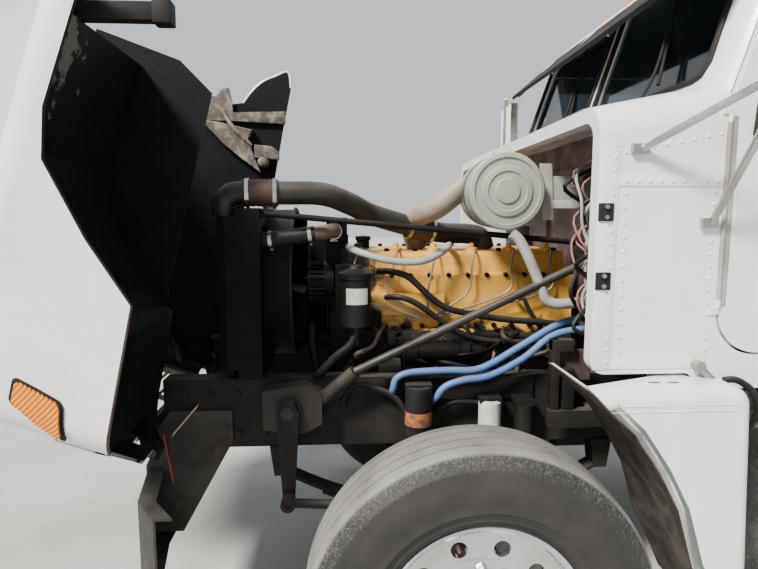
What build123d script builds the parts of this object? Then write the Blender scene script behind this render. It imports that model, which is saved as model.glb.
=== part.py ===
"""Tandem-axle conventional dump truck, hood tilted open, with its parts as separate solids.

Millimetres. X is forward, Y is to the truck's left and Z is up. The front axle's centre line is
at X = 0 and the ground is at Z = 0. At export everything shifts along X, so that the origin is
under the middle of the whole truck.
"""

from build123d import *
import math
import os

# Clearances
SEAT = 0.3            # between two pieces that are bolted or set together
RUN = 6.0             # between a moving piece and what it passes
PIN_RUN = 0.3         # around a pin that turns

# Wheels and axles
TYRE_R = 518.0
TYRE_WIDTH = 280.0
TREAD_WIDTH = 214.0
SHOULDER_R = 474.0
BEAD_R = 288.0
BEAD_WIDTH = 216.0
RIM_WALL = 9.0
RIM_FLANGE_R = 299.0
HUB_R = 92.0
HUB_CAP_R = 78.0
HUB_BORE_R = 40.0
SPINDLE_R = HUB_BORE_R - PIN_RUN
DISC_THICK = 24.0
DRUM_R = 206.0
FRONT_TRACK = 2010.0
REAR_TRACK = 1860.0
DUAL_SPACING = 330.0
AXLE_Z = TYRE_R
TANDEM_X = -5200.0
TANDEM_SPREAD = 1320.0
KINGPIN_Y = 850.0
KINGPIN_R = 22.0
STEER_LIMIT = 30.0

# Frame rails
RAIL_OUT = 430.0
RAIL_TOP = 1050.0
RAIL_H = 270.0
RAIL_FLANGE = 85.0
RAIL_WEB = 10.0
FRAME_FRONT = 1080.0
FRAME_REAR = -6550.0
RAIL_BOTTOM = RAIL_TOP - RAIL_H
RAIL_IN = RAIL_OUT - RAIL_WEB

# Front bumper, a folded channel
BUMPER_TOP = 700.0
BUMPER_H = 340.0
BUMPER_DEPTH = 62.0
BUMPER_WALL = 8.0
BUMPER_NOSE_X = 1160.0
BUMPER_FOLD_X = 1100.0
BUMPER_TIP_X = 1010.0
BUMPER_FOLD_Y = 690.0
BUMPER_TIP_Y = 812.0

# Hood, described closed and then tilted about its front pivots
PIVOT_X = 1100.0
PIVOT_Z = 800.0
PIVOT_Y = 505.0
PIVOT_R = 15.0
HOOD_OPEN = 70.0
HOOD_WALL = 10.0
HOOD_REAR_X = -325.0
HOOD_NOSE_X = 1112.0
HOOD_REAR_TOP = 1985.0
HOOD_NOSE_TOP = 1790.0
HOOD_REAR_HALF = 955.0
HOOD_NOSE_HALF = 470.0
FENDER_OUT = 1100.0
FENDER_IN = 560.0
FENDER_REAR_TOP = 1330.0
ARCH_Z = 1212.0
FENDER_REACH = 1088.0
FENDER_ROUND = 95.0
SWEEP_Y = 640.0          # the fender's front sweeps back from here
SWEEP_TIP_X = 845.0      # to here at its outer side
QUARTER_IN = 750.0
QUARTER_LOW = 440.0
QUARTER_REAR_X = -765.0
QUARTER_TIP = (-293.0, 1053.0)

# Cab
CAB_HALF = 970.0
CAB_WALL = 45.0
CAB_FRONT_X = -340.0
CAB_BACK_X = -1950.0
CAB_ROOF = 2700.0
CAB_FLOOR = 1150.0
COWL_Z = 1200.0
COWL_TOP = 1990.0
COWL_ROUND = 45.0
GLASS_BASE_X = -700.0
GLASS_BASE_Z = 2060.0
GLASS_TOP_X = -870.0
GLASS_TOP_Z = CAB_ROOF - 120.0
CAB_EDGE_R = 100.0
FIREWALL_X = -640.0
GLASS = 8.0
DOOR_FRONT_X = -725.0
DOOR_REAR_X = -1700.0
DOOR_BOTTOM = 1260.0
DOOR_TOP = CAB_ROOF - 200.0
DOOR_GAP = 6.0
VISOR_REACH = 220.0
VISOR_DROP = 202.0
HINGE_X = -722.0
HINGE_Y = CAB_HALF + 2.0
HINGE_Z = (1400.0, 1960.0)
HINGE_R = 7.0
HINGE_PIN_R = 4.0

# Engine, cooling and exhaust
ENGINE_REAR_X = -560.0
ENGINE_FRONT_X = 400.0
ENGINE_HALF = 300.0
ENGINE_BASE = 760.0
ENGINE_DECK = 1430.0
COVER_TOP = 1525.0
RADIATOR_X = 700.0
RADIATOR_HALF = 450.0
RADIATOR_TOP = 1700.0
FAN_R = 300.0
FAN_X = 590.0
FAN_Z = 1378.0
FAN_SHAFT_R = 22.0
STACK_R = 62.0
STACK_TOP = 3150.0
MUFFLER_R = 118.0
MUFFLER_Z = (1400.0, 2430.0)
STACK_X = -2085.0
STACK_Y = -860.0
CLEANER_R = 143.0
CLEANER_X = -215.0
CLEANER_Y = 500.0
CLEANER_Z = 1762.0
CLEANER_LONG = 240.0

# Dump bed
BED_FRONT_X = -2260.0
BED_REAR_X = -6760.0
BED_HALF = 1220.0
BED_FLOOR = 1300.0
BED_FLOOR_THICK = 40.0
BED_WALL = 30.0
BED_TOP = 2480.0
BED_GUARD_Z = 2830.0
BED_GUARD_X = -1250.0
BED_GUARD_HALF = 700.0
BED_TILT = 45.0
BED_HINGE_X = -6480.0
BED_HINGE_Z = 1150.0
BED_PIN_R = 25.0
SILL_OUT = 420.0
SILL_THICK = 80.0
GATE_THICK = 60.0
GATE_SWING = 70.0
GATE_PIN_Z = 2520.0

# Hoist, a telescopic cylinder behind the cab
HOIST_X = -2130.0
HOIST_Z = 1010.0
HOIST_TOP_Z = 2350.0
HOIST_R = 95.0
HOIST_WALL = 9.0
HOIST_STAGES = 3
HOIST_EYE_R = 42.0

SIDES = (("left", 1), ("right", -1))


def block(x, y, z):
    """A box between the low and high limits given for each axis."""
    size = [high - low for low, high in (x, y, z)]
    middle = [(high + low) / 2 for low, high in (x, y, z)]
    return Pos(*middle) * Box(*size)


def slab_side(points, y_low, y_high, rounding=None):
    """An outline drawn in X and Z, made solid between two heights in Y."""
    return extrude(Plane((0, y_high, 0), x_dir=(1, 0, 0), z_dir=(0, -1, 0)) * outline(points, rounding),
                   amount=y_high - y_low)


def slab_front(points, x_low, x_high, rounding=None):
    """An outline drawn in Y and Z, made solid between two places in X."""
    return extrude(Plane((x_low, 0, 0), x_dir=(0, 1, 0), z_dir=(1, 0, 0)) * outline(points, rounding),
                   amount=x_high - x_low)


def slab_top(points, z_low, z_high, rounding=None):
    """An outline drawn in X and Y, made solid between two heights."""
    return extrude(Plane((0, 0, z_low)) * outline(points, rounding), amount=z_high - z_low)


def outline(points, rounding=None):
    """A closed face through the points, with the corners named in rounding made round."""
    face = make_face(Polyline(*points, close=True))
    for corner, radius in (rounding or {}).items():
        at = Vector(*points[corner])
        nearest = min(face.vertices(), key=lambda vertex: (Vector(*vertex) - at).length)
        face = fillet(nearest, radius)
    return face


def rod(start, end, radius):
    """A round bar from one point to another."""
    along = Vector(*end) - Vector(*start)
    return extrude(Plane(start, z_dir=along) * Circle(radius), amount=along.length)


def tube(start, end, radius, wall):
    """An open tube from one point to another."""
    along = Vector(*end) - Vector(*start)
    return extrude(Plane(start, z_dir=along) * (Circle(radius) - Circle(radius - wall)), amount=along.length)


def pipe(points, cuts, radius):
    """A round pipe in straight runs through the points, each corner cut off at the given distance from it."""
    knots = [Vector(*point) for point in points]
    runs = [knots[0]]
    for before, corner, after, cut in zip(knots, knots[1:], knots[2:], cuts):
        runs += [corner + (before - corner).normalized() * cut, corner + (after - corner).normalized() * cut]
    path = Polyline(*runs, knots[-1])
    return sweep(Plane(path @ 0, z_dir=path % 0) * Circle(radius), path=path, transition=Transition.RIGHT)


def turned(profile, x, y, z):
    """A profile of (distance along Y, radius) pairs turned about the Y axis through a point."""
    face = make_face(Polyline(*[(0, along, radius) for along, radius in profile], close=True))
    return Pos(x, y, z) * revolve(face, Axis.Y)


def mirrored(shape):
    """The same shape on the truck's other side."""
    return mirror(shape, about=Plane.XZ)


def sided(shape, side):
    """A shape drawn for the left, put on the side that the sign gives."""
    return shape if side > 0 else mirrored(shape)


def group(*shapes):
    """Solids that share a sub-part, kept as they are."""
    return Compound([solid for shape in shapes for solid in shape.solids()])


def both(*shapes):
    """The shapes drawn for the left, with their copies on the right."""
    return group(*shapes, *[mirrored(shape) for shape in shapes])


def opened(shape):
    """A shape of the closed hood, tilted forward to where the hood stands open."""
    pivot = Axis((PIVOT_X, 0, PIVOT_Z), (0, 1, 0))
    return shape.rotate(pivot, HOOD_OPEN)


# Frame

def frame_rails():
    """Two channel rails, open towards each other."""
    web_and_flanges = [
        (RAIL_OUT, RAIL_BOTTOM), (RAIL_OUT, RAIL_TOP), (RAIL_OUT - RAIL_FLANGE, RAIL_TOP),
        (RAIL_OUT - RAIL_FLANGE, RAIL_TOP - RAIL_WEB), (RAIL_IN, RAIL_TOP - RAIL_WEB),
        (RAIL_IN, RAIL_BOTTOM + RAIL_WEB), (RAIL_OUT - RAIL_FLANGE, RAIL_BOTTOM + RAIL_WEB),
        (RAIL_OUT - RAIL_FLANGE, RAIL_BOTTOM),
    ]
    return both(slab_front(web_and_flanges, FRAME_REAR, FRAME_FRONT))


# Each crossmember: X of its middle, height, and how far its top is under the rails' top
CROSSMEMBERS = (
    (FRAME_FRONT - 110.0, 120.0, 130.0),
    (-1500.0, 90.0, 40.0),
    (HOIST_X, 130.0, 105.0),
    (-3400.0, 170.0, 45.0),
    (TANDEM_X + 60.0, 190.0, 35.0),
    (FRAME_REAR + 60.0, 220.0, 25.0),
)
CROSS_DEPTH = 90.0
HITCH_SPREAD_Y = 86.0
HITCH_SPREAD_Z = 44.0
HITCH_HOLE_R = 8.5


def crossmembers():
    """Channels between the rails' webs. The last one is bored for a pintle hook."""
    members = []
    half = RAIL_IN - SEAT
    for x, height, drop in CROSSMEMBERS:
        top = RAIL_TOP - drop
        wall = RAIL_WEB
        section = [
            (x + CROSS_DEPTH / 2, top), (x - CROSS_DEPTH / 2, top),
            (x - CROSS_DEPTH / 2, top - height), (x + CROSS_DEPTH / 2, top - height),
            (x + CROSS_DEPTH / 2, top - height + wall), (x - CROSS_DEPTH / 2 + wall, top - height + wall),
            (x - CROSS_DEPTH / 2 + wall, top - wall), (x + CROSS_DEPTH / 2, top - wall),
        ]
        members.append(slab_side(section, -half, half))
    members[2] += hoist_mount()
    hitch_z = hitch_centre()[2]
    for y in (-HITCH_SPREAD_Y / 2, HITCH_SPREAD_Y / 2):
        for z in (hitch_z - HITCH_SPREAD_Z / 2, hitch_z + HITCH_SPREAD_Z / 2):
            members[-1] -= rod((FRAME_REAR, y, z), (FRAME_REAR + 60, y, z), HITCH_HOLE_R)
    return group(*members)


def hitch_centre():
    """The middle of the pintle hook's bolt pattern, on the last crossmember's rear face."""
    x, height, drop = CROSSMEMBERS[-1]
    return (x - CROSS_DEPTH / 2, 0.0, RAIL_TOP - drop - height / 2)


def front_bumper():
    """A folded channel with swept ends, and the brackets that carry it and the hood's pivots."""
    def plan(inset):
        front = BUMPER_NOSE_X - inset
        return [
            (front, -BUMPER_FOLD_Y * 0.55), (front, BUMPER_FOLD_Y * 0.55),
            (BUMPER_FOLD_X - inset, BUMPER_FOLD_Y), (BUMPER_TIP_X - inset, BUMPER_TIP_Y),
            (BUMPER_TIP_X - BUMPER_DEPTH, BUMPER_TIP_Y), (BUMPER_FOLD_X - BUMPER_DEPTH, BUMPER_FOLD_Y),
            (BUMPER_NOSE_X - BUMPER_DEPTH, BUMPER_FOLD_Y * 0.55),
            (BUMPER_NOSE_X - BUMPER_DEPTH, -BUMPER_FOLD_Y * 0.55),
            (BUMPER_FOLD_X - BUMPER_DEPTH, -BUMPER_FOLD_Y), (BUMPER_TIP_X - BUMPER_DEPTH, -BUMPER_TIP_Y),
            (BUMPER_TIP_X - inset, -BUMPER_TIP_Y), (BUMPER_FOLD_X - inset, -BUMPER_FOLD_Y),
        ]
    low = BUMPER_TOP - BUMPER_H
    skin = slab_top(plan(0), low, BUMPER_TOP)
    skin -= slab_top(plan(BUMPER_WALL), low + BUMPER_WALL, BUMPER_TOP - BUMPER_WALL)
    back = BUMPER_NOSE_X - BUMPER_WALL
    bracket = slab_side([
        (FRAME_FRONT - 260, RAIL_BOTTOM + 30), (FRAME_FRONT - 260, RAIL_BOTTOM + 150),
        (PIVOT_X - 45, RAIL_BOTTOM + 150), (PIVOT_X + 28, PIVOT_Z + 30), (PIVOT_X + 28, PIVOT_Z - 30),
        (back, BUMPER_TOP + 20), (back, low + 90), (FRAME_FRONT - 60, low + 90),
    ], RAIL_OUT + SEAT, RAIL_OUT + SEAT + 16)
    pin = rod((PIVOT_X, RAIL_OUT + 10, PIVOT_Z), (PIVOT_X, PIVOT_Y + 22, PIVOT_Z), PIVOT_R)
    whole = skin + both(bracket + pin)
    return whole


# Running gear

def tyre_profile(middle):
    """The half-section of a tyre, as (distance along the axle, radius), with a step for the rim's flanges."""
    step = RIM_FLANGE_R + SEAT
    half = [(BEAD_WIDTH / 2, BEAD_R), (BEAD_WIDTH / 2, step), (TYRE_WIDTH / 2, step), (TYRE_WIDTH / 2, SHOULDER_R),
            (TREAD_WIDTH / 2, TYRE_R)]
    return [(middle - away, radius) for away, radius in half] + [(middle + away, radius) for away, radius in
                                                                 reversed(half)]


HAND_HOLES = 10
HAND_HOLE_R = 25.0
HAND_HOLE_RING = 205.0


def front_wheel(side):
    """A steered wheel: the tyre, and a disc wheel in one with its hub, with a ring of hand holes."""
    middle = FRONT_TRACK / 2
    disc_out = middle + 58
    disc_in = disc_out - DISC_THICK
    tyre = turned(tyre_profile(middle), 0, 0, AXLE_Z)
    barrel = BEAD_R - SEAT
    inside = barrel - RIM_WALL
    edge = BEAD_WIDTH / 2 + SEAT
    face = edge + RIM_WALL
    hub_in = YOKE_BACK + YOKE_PLATE + 3
    hub_out = middle + 128
    rim = turned([
        (middle - edge, barrel), (middle - edge, RIM_FLANGE_R), (middle - face, RIM_FLANGE_R), (middle - face, inside),
        (disc_in, inside), (disc_in, HUB_R + 40), (hub_in, HUB_R + 40), (hub_in, HUB_BORE_R),
        (hub_out - 12, HUB_BORE_R), (hub_out - 12, 0), (hub_out, 0), (hub_out, HUB_CAP_R), (disc_out, HUB_CAP_R),
        (disc_out, inside), (middle + face, inside), (middle + face, RIM_FLANGE_R), (middle + edge, RIM_FLANGE_R),
        (middle + edge, barrel),
    ], 0, 0, AXLE_Z)
    for hole in range(HAND_HOLES):
        angle = math.radians(360 * (hole + 0.5) / HAND_HOLES + 90)
        x = HAND_HOLE_RING * math.cos(angle)
        z = AXLE_Z + HAND_HOLE_RING * math.sin(angle)
        rim -= rod((x, disc_in - 30, z), (x, disc_out + 40, z), HAND_HOLE_R)
    return sided(tyre, side), sided(rim, side)


def dual_wheel(x, side):
    """Twin wheels on one hub with their brake drum: the two tyres, and the rims with hub and drum."""
    outer = REAR_TRACK / 2 + DUAL_SPACING / 2
    inner = REAR_TRACK / 2 - DUAL_SPACING / 2
    tyres = [turned(tyre_profile(middle), x, 0, AXLE_Z) for middle in (outer, inner)]
    barrel = BEAD_R - SEAT
    inside = barrel - RIM_WALL
    edge = BEAD_WIDTH / 2 + RIM_WALL
    seat = REAR_TRACK / 2
    half = DISC_THICK / 2
    hub_out = outer + 70
    rims = turned([
        (inner - edge, barrel), (inner - edge, inside), (seat - half - 1, inside), (seat - half - 1, DRUM_R + 14),
        (inner - 60, DRUM_R + 14), (inner - 60, DRUM_R), (seat - 60, DRUM_R), (seat - 60, HUB_BORE_R),
        (hub_out - 12, HUB_BORE_R), (hub_out - 12, 0), (hub_out, 0), (hub_out, HUB_CAP_R), (seat + half, HUB_CAP_R),
        (seat + half, inside), (outer + edge, inside), (outer + edge, barrel),
    ], x, 0, AXLE_Z)
    return group(*[sided(tyre, side) for tyre in tyres]), sided(rims, side)


def front_axle():
    """A forged I-beam, dropped between the springs, with an eye for each kingpin."""
    top = AXLE_Z - 48
    depth = 92.0
    half_thick = 52.0
    web_half = 14.0
    drop_y = 560.0
    rise_y = 700.0
    eye_y = KINGPIN_Y
    eye_half = 46.0
    rise = 78.0
    outer = [
        (-eye_y, top + rise), (-rise_y, top + rise), (-drop_y, top), (drop_y, top), (rise_y, top + rise),
        (eye_y, top + rise), (eye_y, top + rise - depth), (rise_y, top + rise - depth),
        (drop_y, top - depth), (-drop_y, top - depth), (-rise_y, top + rise - depth), (-eye_y, top + rise - depth),
    ]
    beam = slab_front(outer, -half_thick, half_thick)
    lip = 20.0
    pocket = [
        (-rise_y, top + rise - lip), (-drop_y, top - lip), (drop_y, top - lip), (rise_y, top + rise - lip),
        (rise_y, top + rise - depth + lip), (drop_y, top - depth + lip),
        (-drop_y, top - depth + lip), (-rise_y, top + rise - depth + lip),
    ]
    beam -= slab_front(pocket, web_half, half_thick + 1)
    beam -= slab_front(pocket, -half_thick - 1, -web_half)
    for _, side in SIDES:
        y = side * KINGPIN_Y
        low = top + rise - depth
        beam += rod((0, y, low), (0, y, top + rise), eye_half + 6)
        beam -= rod((0, y, low - 1), (0, y, top + rise + 1), KINGPIN_R + PIN_RUN)
    return beam


AXLE_EYE_TOP = AXLE_Z + 30
AXLE_EYE_LOW = AXLE_EYE_TOP - 92
AXLE_EYE_R = 52.0
YOKE_GAP = 5.0
YOKE_CHEEK = 34.0
YOKE_BACK = KINGPIN_Y + AXLE_EYE_R + YOKE_GAP
YOKE_PLATE = 14.0
ARM_BALL_Y = KINGPIN_Y - 200
ARM_LOW = 694.0
ARM_THICK = 28.0
STUD_R = 9.0
TIE_BALL_X = -175.0
TIE_R = 18.0
LINK_Z = 620.0
CUP_R = 38.0


def knuckle(side):
    """A steering knuckle: yoke, kingpin, spindle and tie-rod arm. The left one has the upper arm too."""
    low = AXLE_EYE_LOW - YOKE_GAP - YOKE_CHEEK
    high = AXLE_EYE_TOP + YOKE_GAP + YOKE_CHEEK
    yoke = block((-56, 56), (KINGPIN_Y - 46, YOKE_BACK + YOKE_PLATE), (low, high))
    yoke -= block((-57, 57), (KINGPIN_Y - 47, YOKE_BACK), (low + YOKE_CHEEK, high - YOKE_CHEEK))
    pin = rod((0, KINGPIN_Y, low + 5), (0, KINGPIN_Y, high - 5), KINGPIN_R)
    spindle = rod((0, YOKE_BACK + 2, AXLE_Z), (0, FRONT_TRACK / 2 + 113, AXLE_Z), SPINDLE_R)
    tie_arm = slab_top([
        (0, KINGPIN_Y - 32), (0, KINGPIN_Y + 32), (TIE_BALL_X, KINGPIN_Y + 24), (TIE_BALL_X - 26, KINGPIN_Y),
        (TIE_BALL_X, KINGPIN_Y - 24),
    ], low, low + YOKE_CHEEK - 6)
    tie_stud = rod((TIE_BALL_X, KINGPIN_Y, low + 4), (TIE_BALL_X, KINGPIN_Y, low - 2 * TIE_R), STUD_R)
    whole = yoke + pin + spindle + tie_arm + tie_stud
    if side > 0:
        whole += slab_front([
            (KINGPIN_Y - 40, high - 4), (KINGPIN_Y + 8, high - 4), (KINGPIN_Y + 8, high + 40),
            (KINGPIN_Y - 120, ARM_LOW + ARM_THICK), (ARM_BALL_Y - 26, ARM_LOW + ARM_THICK),
            (ARM_BALL_Y - 26, ARM_LOW), (KINGPIN_Y - 130, ARM_LOW), (KINGPIN_Y - 40, high + 20),
        ], -22, 22)
        whole += rod((0, ARM_BALL_Y, ARM_LOW + 2), (0, ARM_BALL_Y, LINK_Z + 20), STUD_R)
    return sided(whole, side)


def tie_rod():
    """The bar behind the axle, with an eye on each knuckle's stud."""
    top = AXLE_EYE_LOW - YOKE_GAP - YOKE_CHEEK - 4
    middle = top - TIE_R - 4
    bar = rod((TIE_BALL_X, -KINGPIN_Y + 20, middle), (TIE_BALL_X, KINGPIN_Y - 20, middle), TIE_R)
    for _, side in SIDES:
        y = side * KINGPIN_Y
        bar += rod((TIE_BALL_X, y, middle - TIE_R - 4), (TIE_BALL_X, y, top), 27)
    for _, side in SIDES:
        y = side * KINGPIN_Y
        bar -= rod((TIE_BALL_X, y, middle - TIE_R - 5), (TIE_BALL_X, y, top + 1), STUD_R + PIN_RUN)
    return bar


PITMAN_X = 600.0
PITMAN_Y = 540.0
PITMAN_Z = 950.0
PITMAN_THICK = 26.0
GEAR_SHAFT_R = 24.0
LINK_R = 17.0


def steering_gear():
    """The steering box on the left rail, its sector shaft, and the column shaft up to the firewall."""
    near = RAIL_OUT + SEAT
    far = PITMAN_Y - PITMAN_THICK / 2 - PIN_RUN
    case = slab_side([
        (PITMAN_X - 125, PITMAN_Z - 55), (PITMAN_X - 125, PITMAN_Z + 60), (PITMAN_X - 60, PITMAN_Z + 95),
        (PITMAN_X + 95, PITMAN_Z + 75), (PITMAN_X + 95, PITMAN_Z - 75), (PITMAN_X - 60, PITMAN_Z - 90),
    ], near, far - 12)
    sector = rod((PITMAN_X, far - 14, PITMAN_Z), (PITMAN_X, PITMAN_Y + PITMAN_THICK / 2 + 2, PITMAN_Z), GEAR_SHAFT_R)
    collar = rod((PITMAN_X, far - 13, PITMAN_Z), (PITMAN_X, far, PITMAN_Z), 50)
    worm = rod((PITMAN_X - 110, PITMAN_Y - 60, PITMAN_Z + 20), (STEER_JOINT_X, STEER_JOINT_Y, STEER_JOINT_Z), 26)
    shaft = rod((STEER_JOINT_X, STEER_JOINT_Y, STEER_JOINT_Z), (STEER_TOP_X + 9, STEER_JOINT_Y, STEER_TOP_Z),
                STEER_SHAFT_R)
    seal = rod((STEER_TOP_X, STEER_JOINT_Y, STEER_TOP_Z), (STEER_TOP_X + 18, STEER_JOINT_Y, STEER_TOP_Z), 32)
    return case + collar + sector + worm + shaft + seal


STEER_JOINT_X = 351.0
STEER_JOINT_Y = 515.0
STEER_JOINT_Z = 1095.0
STEER_TOP_X = FIREWALL_X + 20.0 + SEAT
STEER_TOP_Z = 1545.0
STEER_SHAFT_R = 16.0


def pitman_arm():
    """The drop arm on the steering box."""
    low = LINK_Z
    y = (PITMAN_Y - PITMAN_THICK / 2, PITMAN_Y + PITMAN_THICK / 2)
    arm = slab_side([
        (PITMAN_X - 42, PITMAN_Z), (PITMAN_X - 22, low), (PITMAN_X, low - 24), (PITMAN_X + 22, low),
        (PITMAN_X + 42, PITMAN_Z), (PITMAN_X + 22, PITMAN_Z + 44), (PITMAN_X - 22, PITMAN_Z + 44),
    ], *y)
    arm -= rod((PITMAN_X, y[0] - 1, PITMAN_Z), (PITMAN_X, y[1] + 1, PITMAN_Z), GEAR_SHAFT_R + PIN_RUN)
    arm += rod((PITMAN_X, y[1] - 2, low), (PITMAN_X, y[1] + 44, low), 11)
    return arm


def drag_link():
    """The bar from the drop arm's stud back to a socket under the left knuckle's upper arm."""
    y = PITMAN_Y + PITMAN_THICK / 2 + 25
    socket_low = LINK_Z - 20
    eye = rod((PITMAN_X, y - 24, LINK_Z), (PITMAN_X, y + 24, LINK_Z), 27)
    bar = rod((PITMAN_X - 10, y, LINK_Z), (0, ARM_BALL_Y, LINK_Z), LINK_R)
    socket = rod((0, ARM_BALL_Y, socket_low), (0, ARM_BALL_Y, LINK_Z + 40), CUP_R + 6)
    link = eye + bar + socket
    link -= rod((0, ARM_BALL_Y, socket_low + 6), (0, ARM_BALL_Y, LINK_Z + 41), CUP_R)
    link -= rod((PITMAN_X, y - 25, LINK_Z), (PITMAN_X, y + 25, LINK_Z), 11 + PIN_RUN)
    return link


SPRING_Y = 400.0
SPRING_HALF = 38.0
LEAF = 15.0


def leaf_pack(x, seat_z, leaves):
    """A stack of curved leaves on an axle seat, each leaf shorter than the one above."""
    pack = Part()
    for number, (half_long, rise) in enumerate(leaves):
        z = seat_z + LEAF * (len(leaves) - 1 - number)
        lower = ThreePointArc((x - half_long, z + rise), (x, z), (x + half_long, z + rise))
        upper = ThreePointArc((x + half_long, z + rise + LEAF), (x, z + LEAF), (x - half_long, z + rise + LEAF))
        face = make_face([lower, Line(lower @ 1, upper @ 0), upper, Line(upper @ 1, lower @ 0)])
        start = Plane((0, SPRING_Y + SPRING_HALF, 0), x_dir=(1, 0, 0), z_dir=(0, -1, 0))
        pack += extrude(start * face, amount=2 * SPRING_HALF)
    return pack


# Each leaf from the top: half its length, and how far its ends rise over its middle
FRONT_LEAVES = ((640.0, 175.0), (480.0, 98.0), (330.0, 46.0))


def front_springs():
    """Leaf packs over the front axle, with the hangers under the rails that hold their eyes."""
    seat_z = AXLE_Z - 48 + SEAT
    pack = leaf_pack(0, seat_z, FRONT_LEAVES)
    half_long, rise = FRONT_LEAVES[0]
    top = seat_z + LEAF * (len(FRONT_LEAVES) - 1) + rise
    low, high = SPRING_Y - SPRING_HALF, SPRING_Y + SPRING_HALF
    for end in (-half_long, half_long):
        pack += slab_side([
            (end - 26, top - 14), (end + 26, top - 14), (end + 42, RAIL_BOTTOM - SEAT), (end - 42, RAIL_BOTTOM - SEAT),
        ], low, high)
    clamp = block((-70, 70), (low - 6, high + 6), (seat_z, seat_z + LEAF * len(FRONT_LEAVES) + 26))
    return both(pack + clamp)


PINION_Z = AXLE_Z + 40
PINION_LONG = 330.0
BANJO_R = 190.0
BANJO_BACK = 150.0
AXLE_TUBE_R = 70.0


def tandem_axles():
    """The two driven axles: banjo housing, tubes and spindles in the twin wheels' hubs."""
    shapes = []
    seat = REAR_TRACK / 2
    for x in tandem_places():
        hub_out = seat + DUAL_SPACING / 2 + 70
        spindles = rod((x, -hub_out + 15, AXLE_Z), (x, hub_out - 15, AXLE_Z), SPINDLE_R)
        tubes = rod((x, -seat + 66, AXLE_Z), (x, seat - 66, AXLE_Z), AXLE_TUBE_R)
        banjo = rod((x - BANJO_BACK, 0, AXLE_Z), (x + 130, 0, AXLE_Z), BANJO_R)
        nose = rod((x + 129, 0, PINION_Z), (x + PINION_LONG, 0, PINION_Z), 80)
        shapes.append(spindles + tubes + banjo + nose)
    return group(*shapes)


def tandem_places():
    """Where the two driven axles stand."""
    return (TANDEM_X + TANDEM_SPREAD / 2, TANDEM_X - TANDEM_SPREAD / 2)


EQUALIZER_Y = 480.0


def rear_suspension():
    """An equalizing beam and its saddle on each side, with the leaf pack that carries the frame."""
    half = TANDEM_SPREAD / 2
    low = AXLE_Z - 150
    beam = slab_side([
        (TANDEM_X - half - 60, low + 4), (TANDEM_X - half - 60, low + 68), (TANDEM_X - 120, low + 84),
        (TANDEM_X + 120, low + 84), (TANDEM_X + half + 60, low + 68), (TANDEM_X + half + 60, low + 4),
        (TANDEM_X + 120, low - 40), (TANDEM_X - 120, low - 40),
    ], EQUALIZER_Y - 35, EQUALIZER_Y + 35)
    for x in tandem_places():
        beam += slab_side([(x - 55, low + 60), (x + 55, low + 60), (x + 40, AXLE_Z - 75), (x - 40, AXLE_Z - 75)],
                          EQUALIZER_Y - 35, EQUALIZER_Y + 35)
    saddle = slab_side([
        (TANDEM_X - 110, low + 80), (TANDEM_X + 110, low + 80), (TANDEM_X + 250, RAIL_TOP - 60),
        (TANDEM_X - 250, RAIL_TOP - 60),
    ], RAIL_OUT + SEAT, RAIL_OUT + 40)
    return both(beam + saddle)


# Driveline, engine and cooling

TRANS_Z = 830.0
SHAFT_R = 48.0
SHAFT_Z = 800.0


def driveline():
    """The gearbox behind the engine, and the shafts back to the two driven axles."""
    front = ENGINE_REAR_X - SEAT
    box_rear = -1300.0
    gearbox = rod((front, 0, TRANS_Z), (front - 150, 0, TRANS_Z), 240)
    gearbox += rod((front - 149, 0, TRANS_Z), (box_rear + 60, 0, TRANS_Z), 175)
    gearbox += rod((box_rear + 61, 0, TRANS_Z), (box_rear, 0, TRANS_Z), 85)
    mid, rear = tandem_places()
    shaft = prop_shaft((box_rear, SHAFT_Z), (mid + PINION_LONG, PINION_Z))
    link = prop_shaft((mid - BANJO_BACK, PINION_Z), (rear + PINION_LONG, PINION_Z))
    return group(gearbox, shaft, link)


def prop_shaft(front, rear):
    """A shaft between two flanges that face each other, given as (X, Z), with a joint at each end."""
    joint = 70.0
    front_x = front[0] - SEAT
    rear_x = rear[0] + SEAT
    yokes = rod((front_x, 0, front[1]), (front_x - joint, 0, front[1]), SHAFT_R + 6)
    yokes += rod((rear_x, 0, rear[1]), (rear_x + joint, 0, rear[1]), SHAFT_R + 6)
    return yokes + rod((front_x - joint + 20, 0, front[1]), (rear_x + joint - 20, 0, rear[1]), SHAFT_R)


MOUNT_FEET = (250.0, -420.0)
COVER_RIBS = 6


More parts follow.
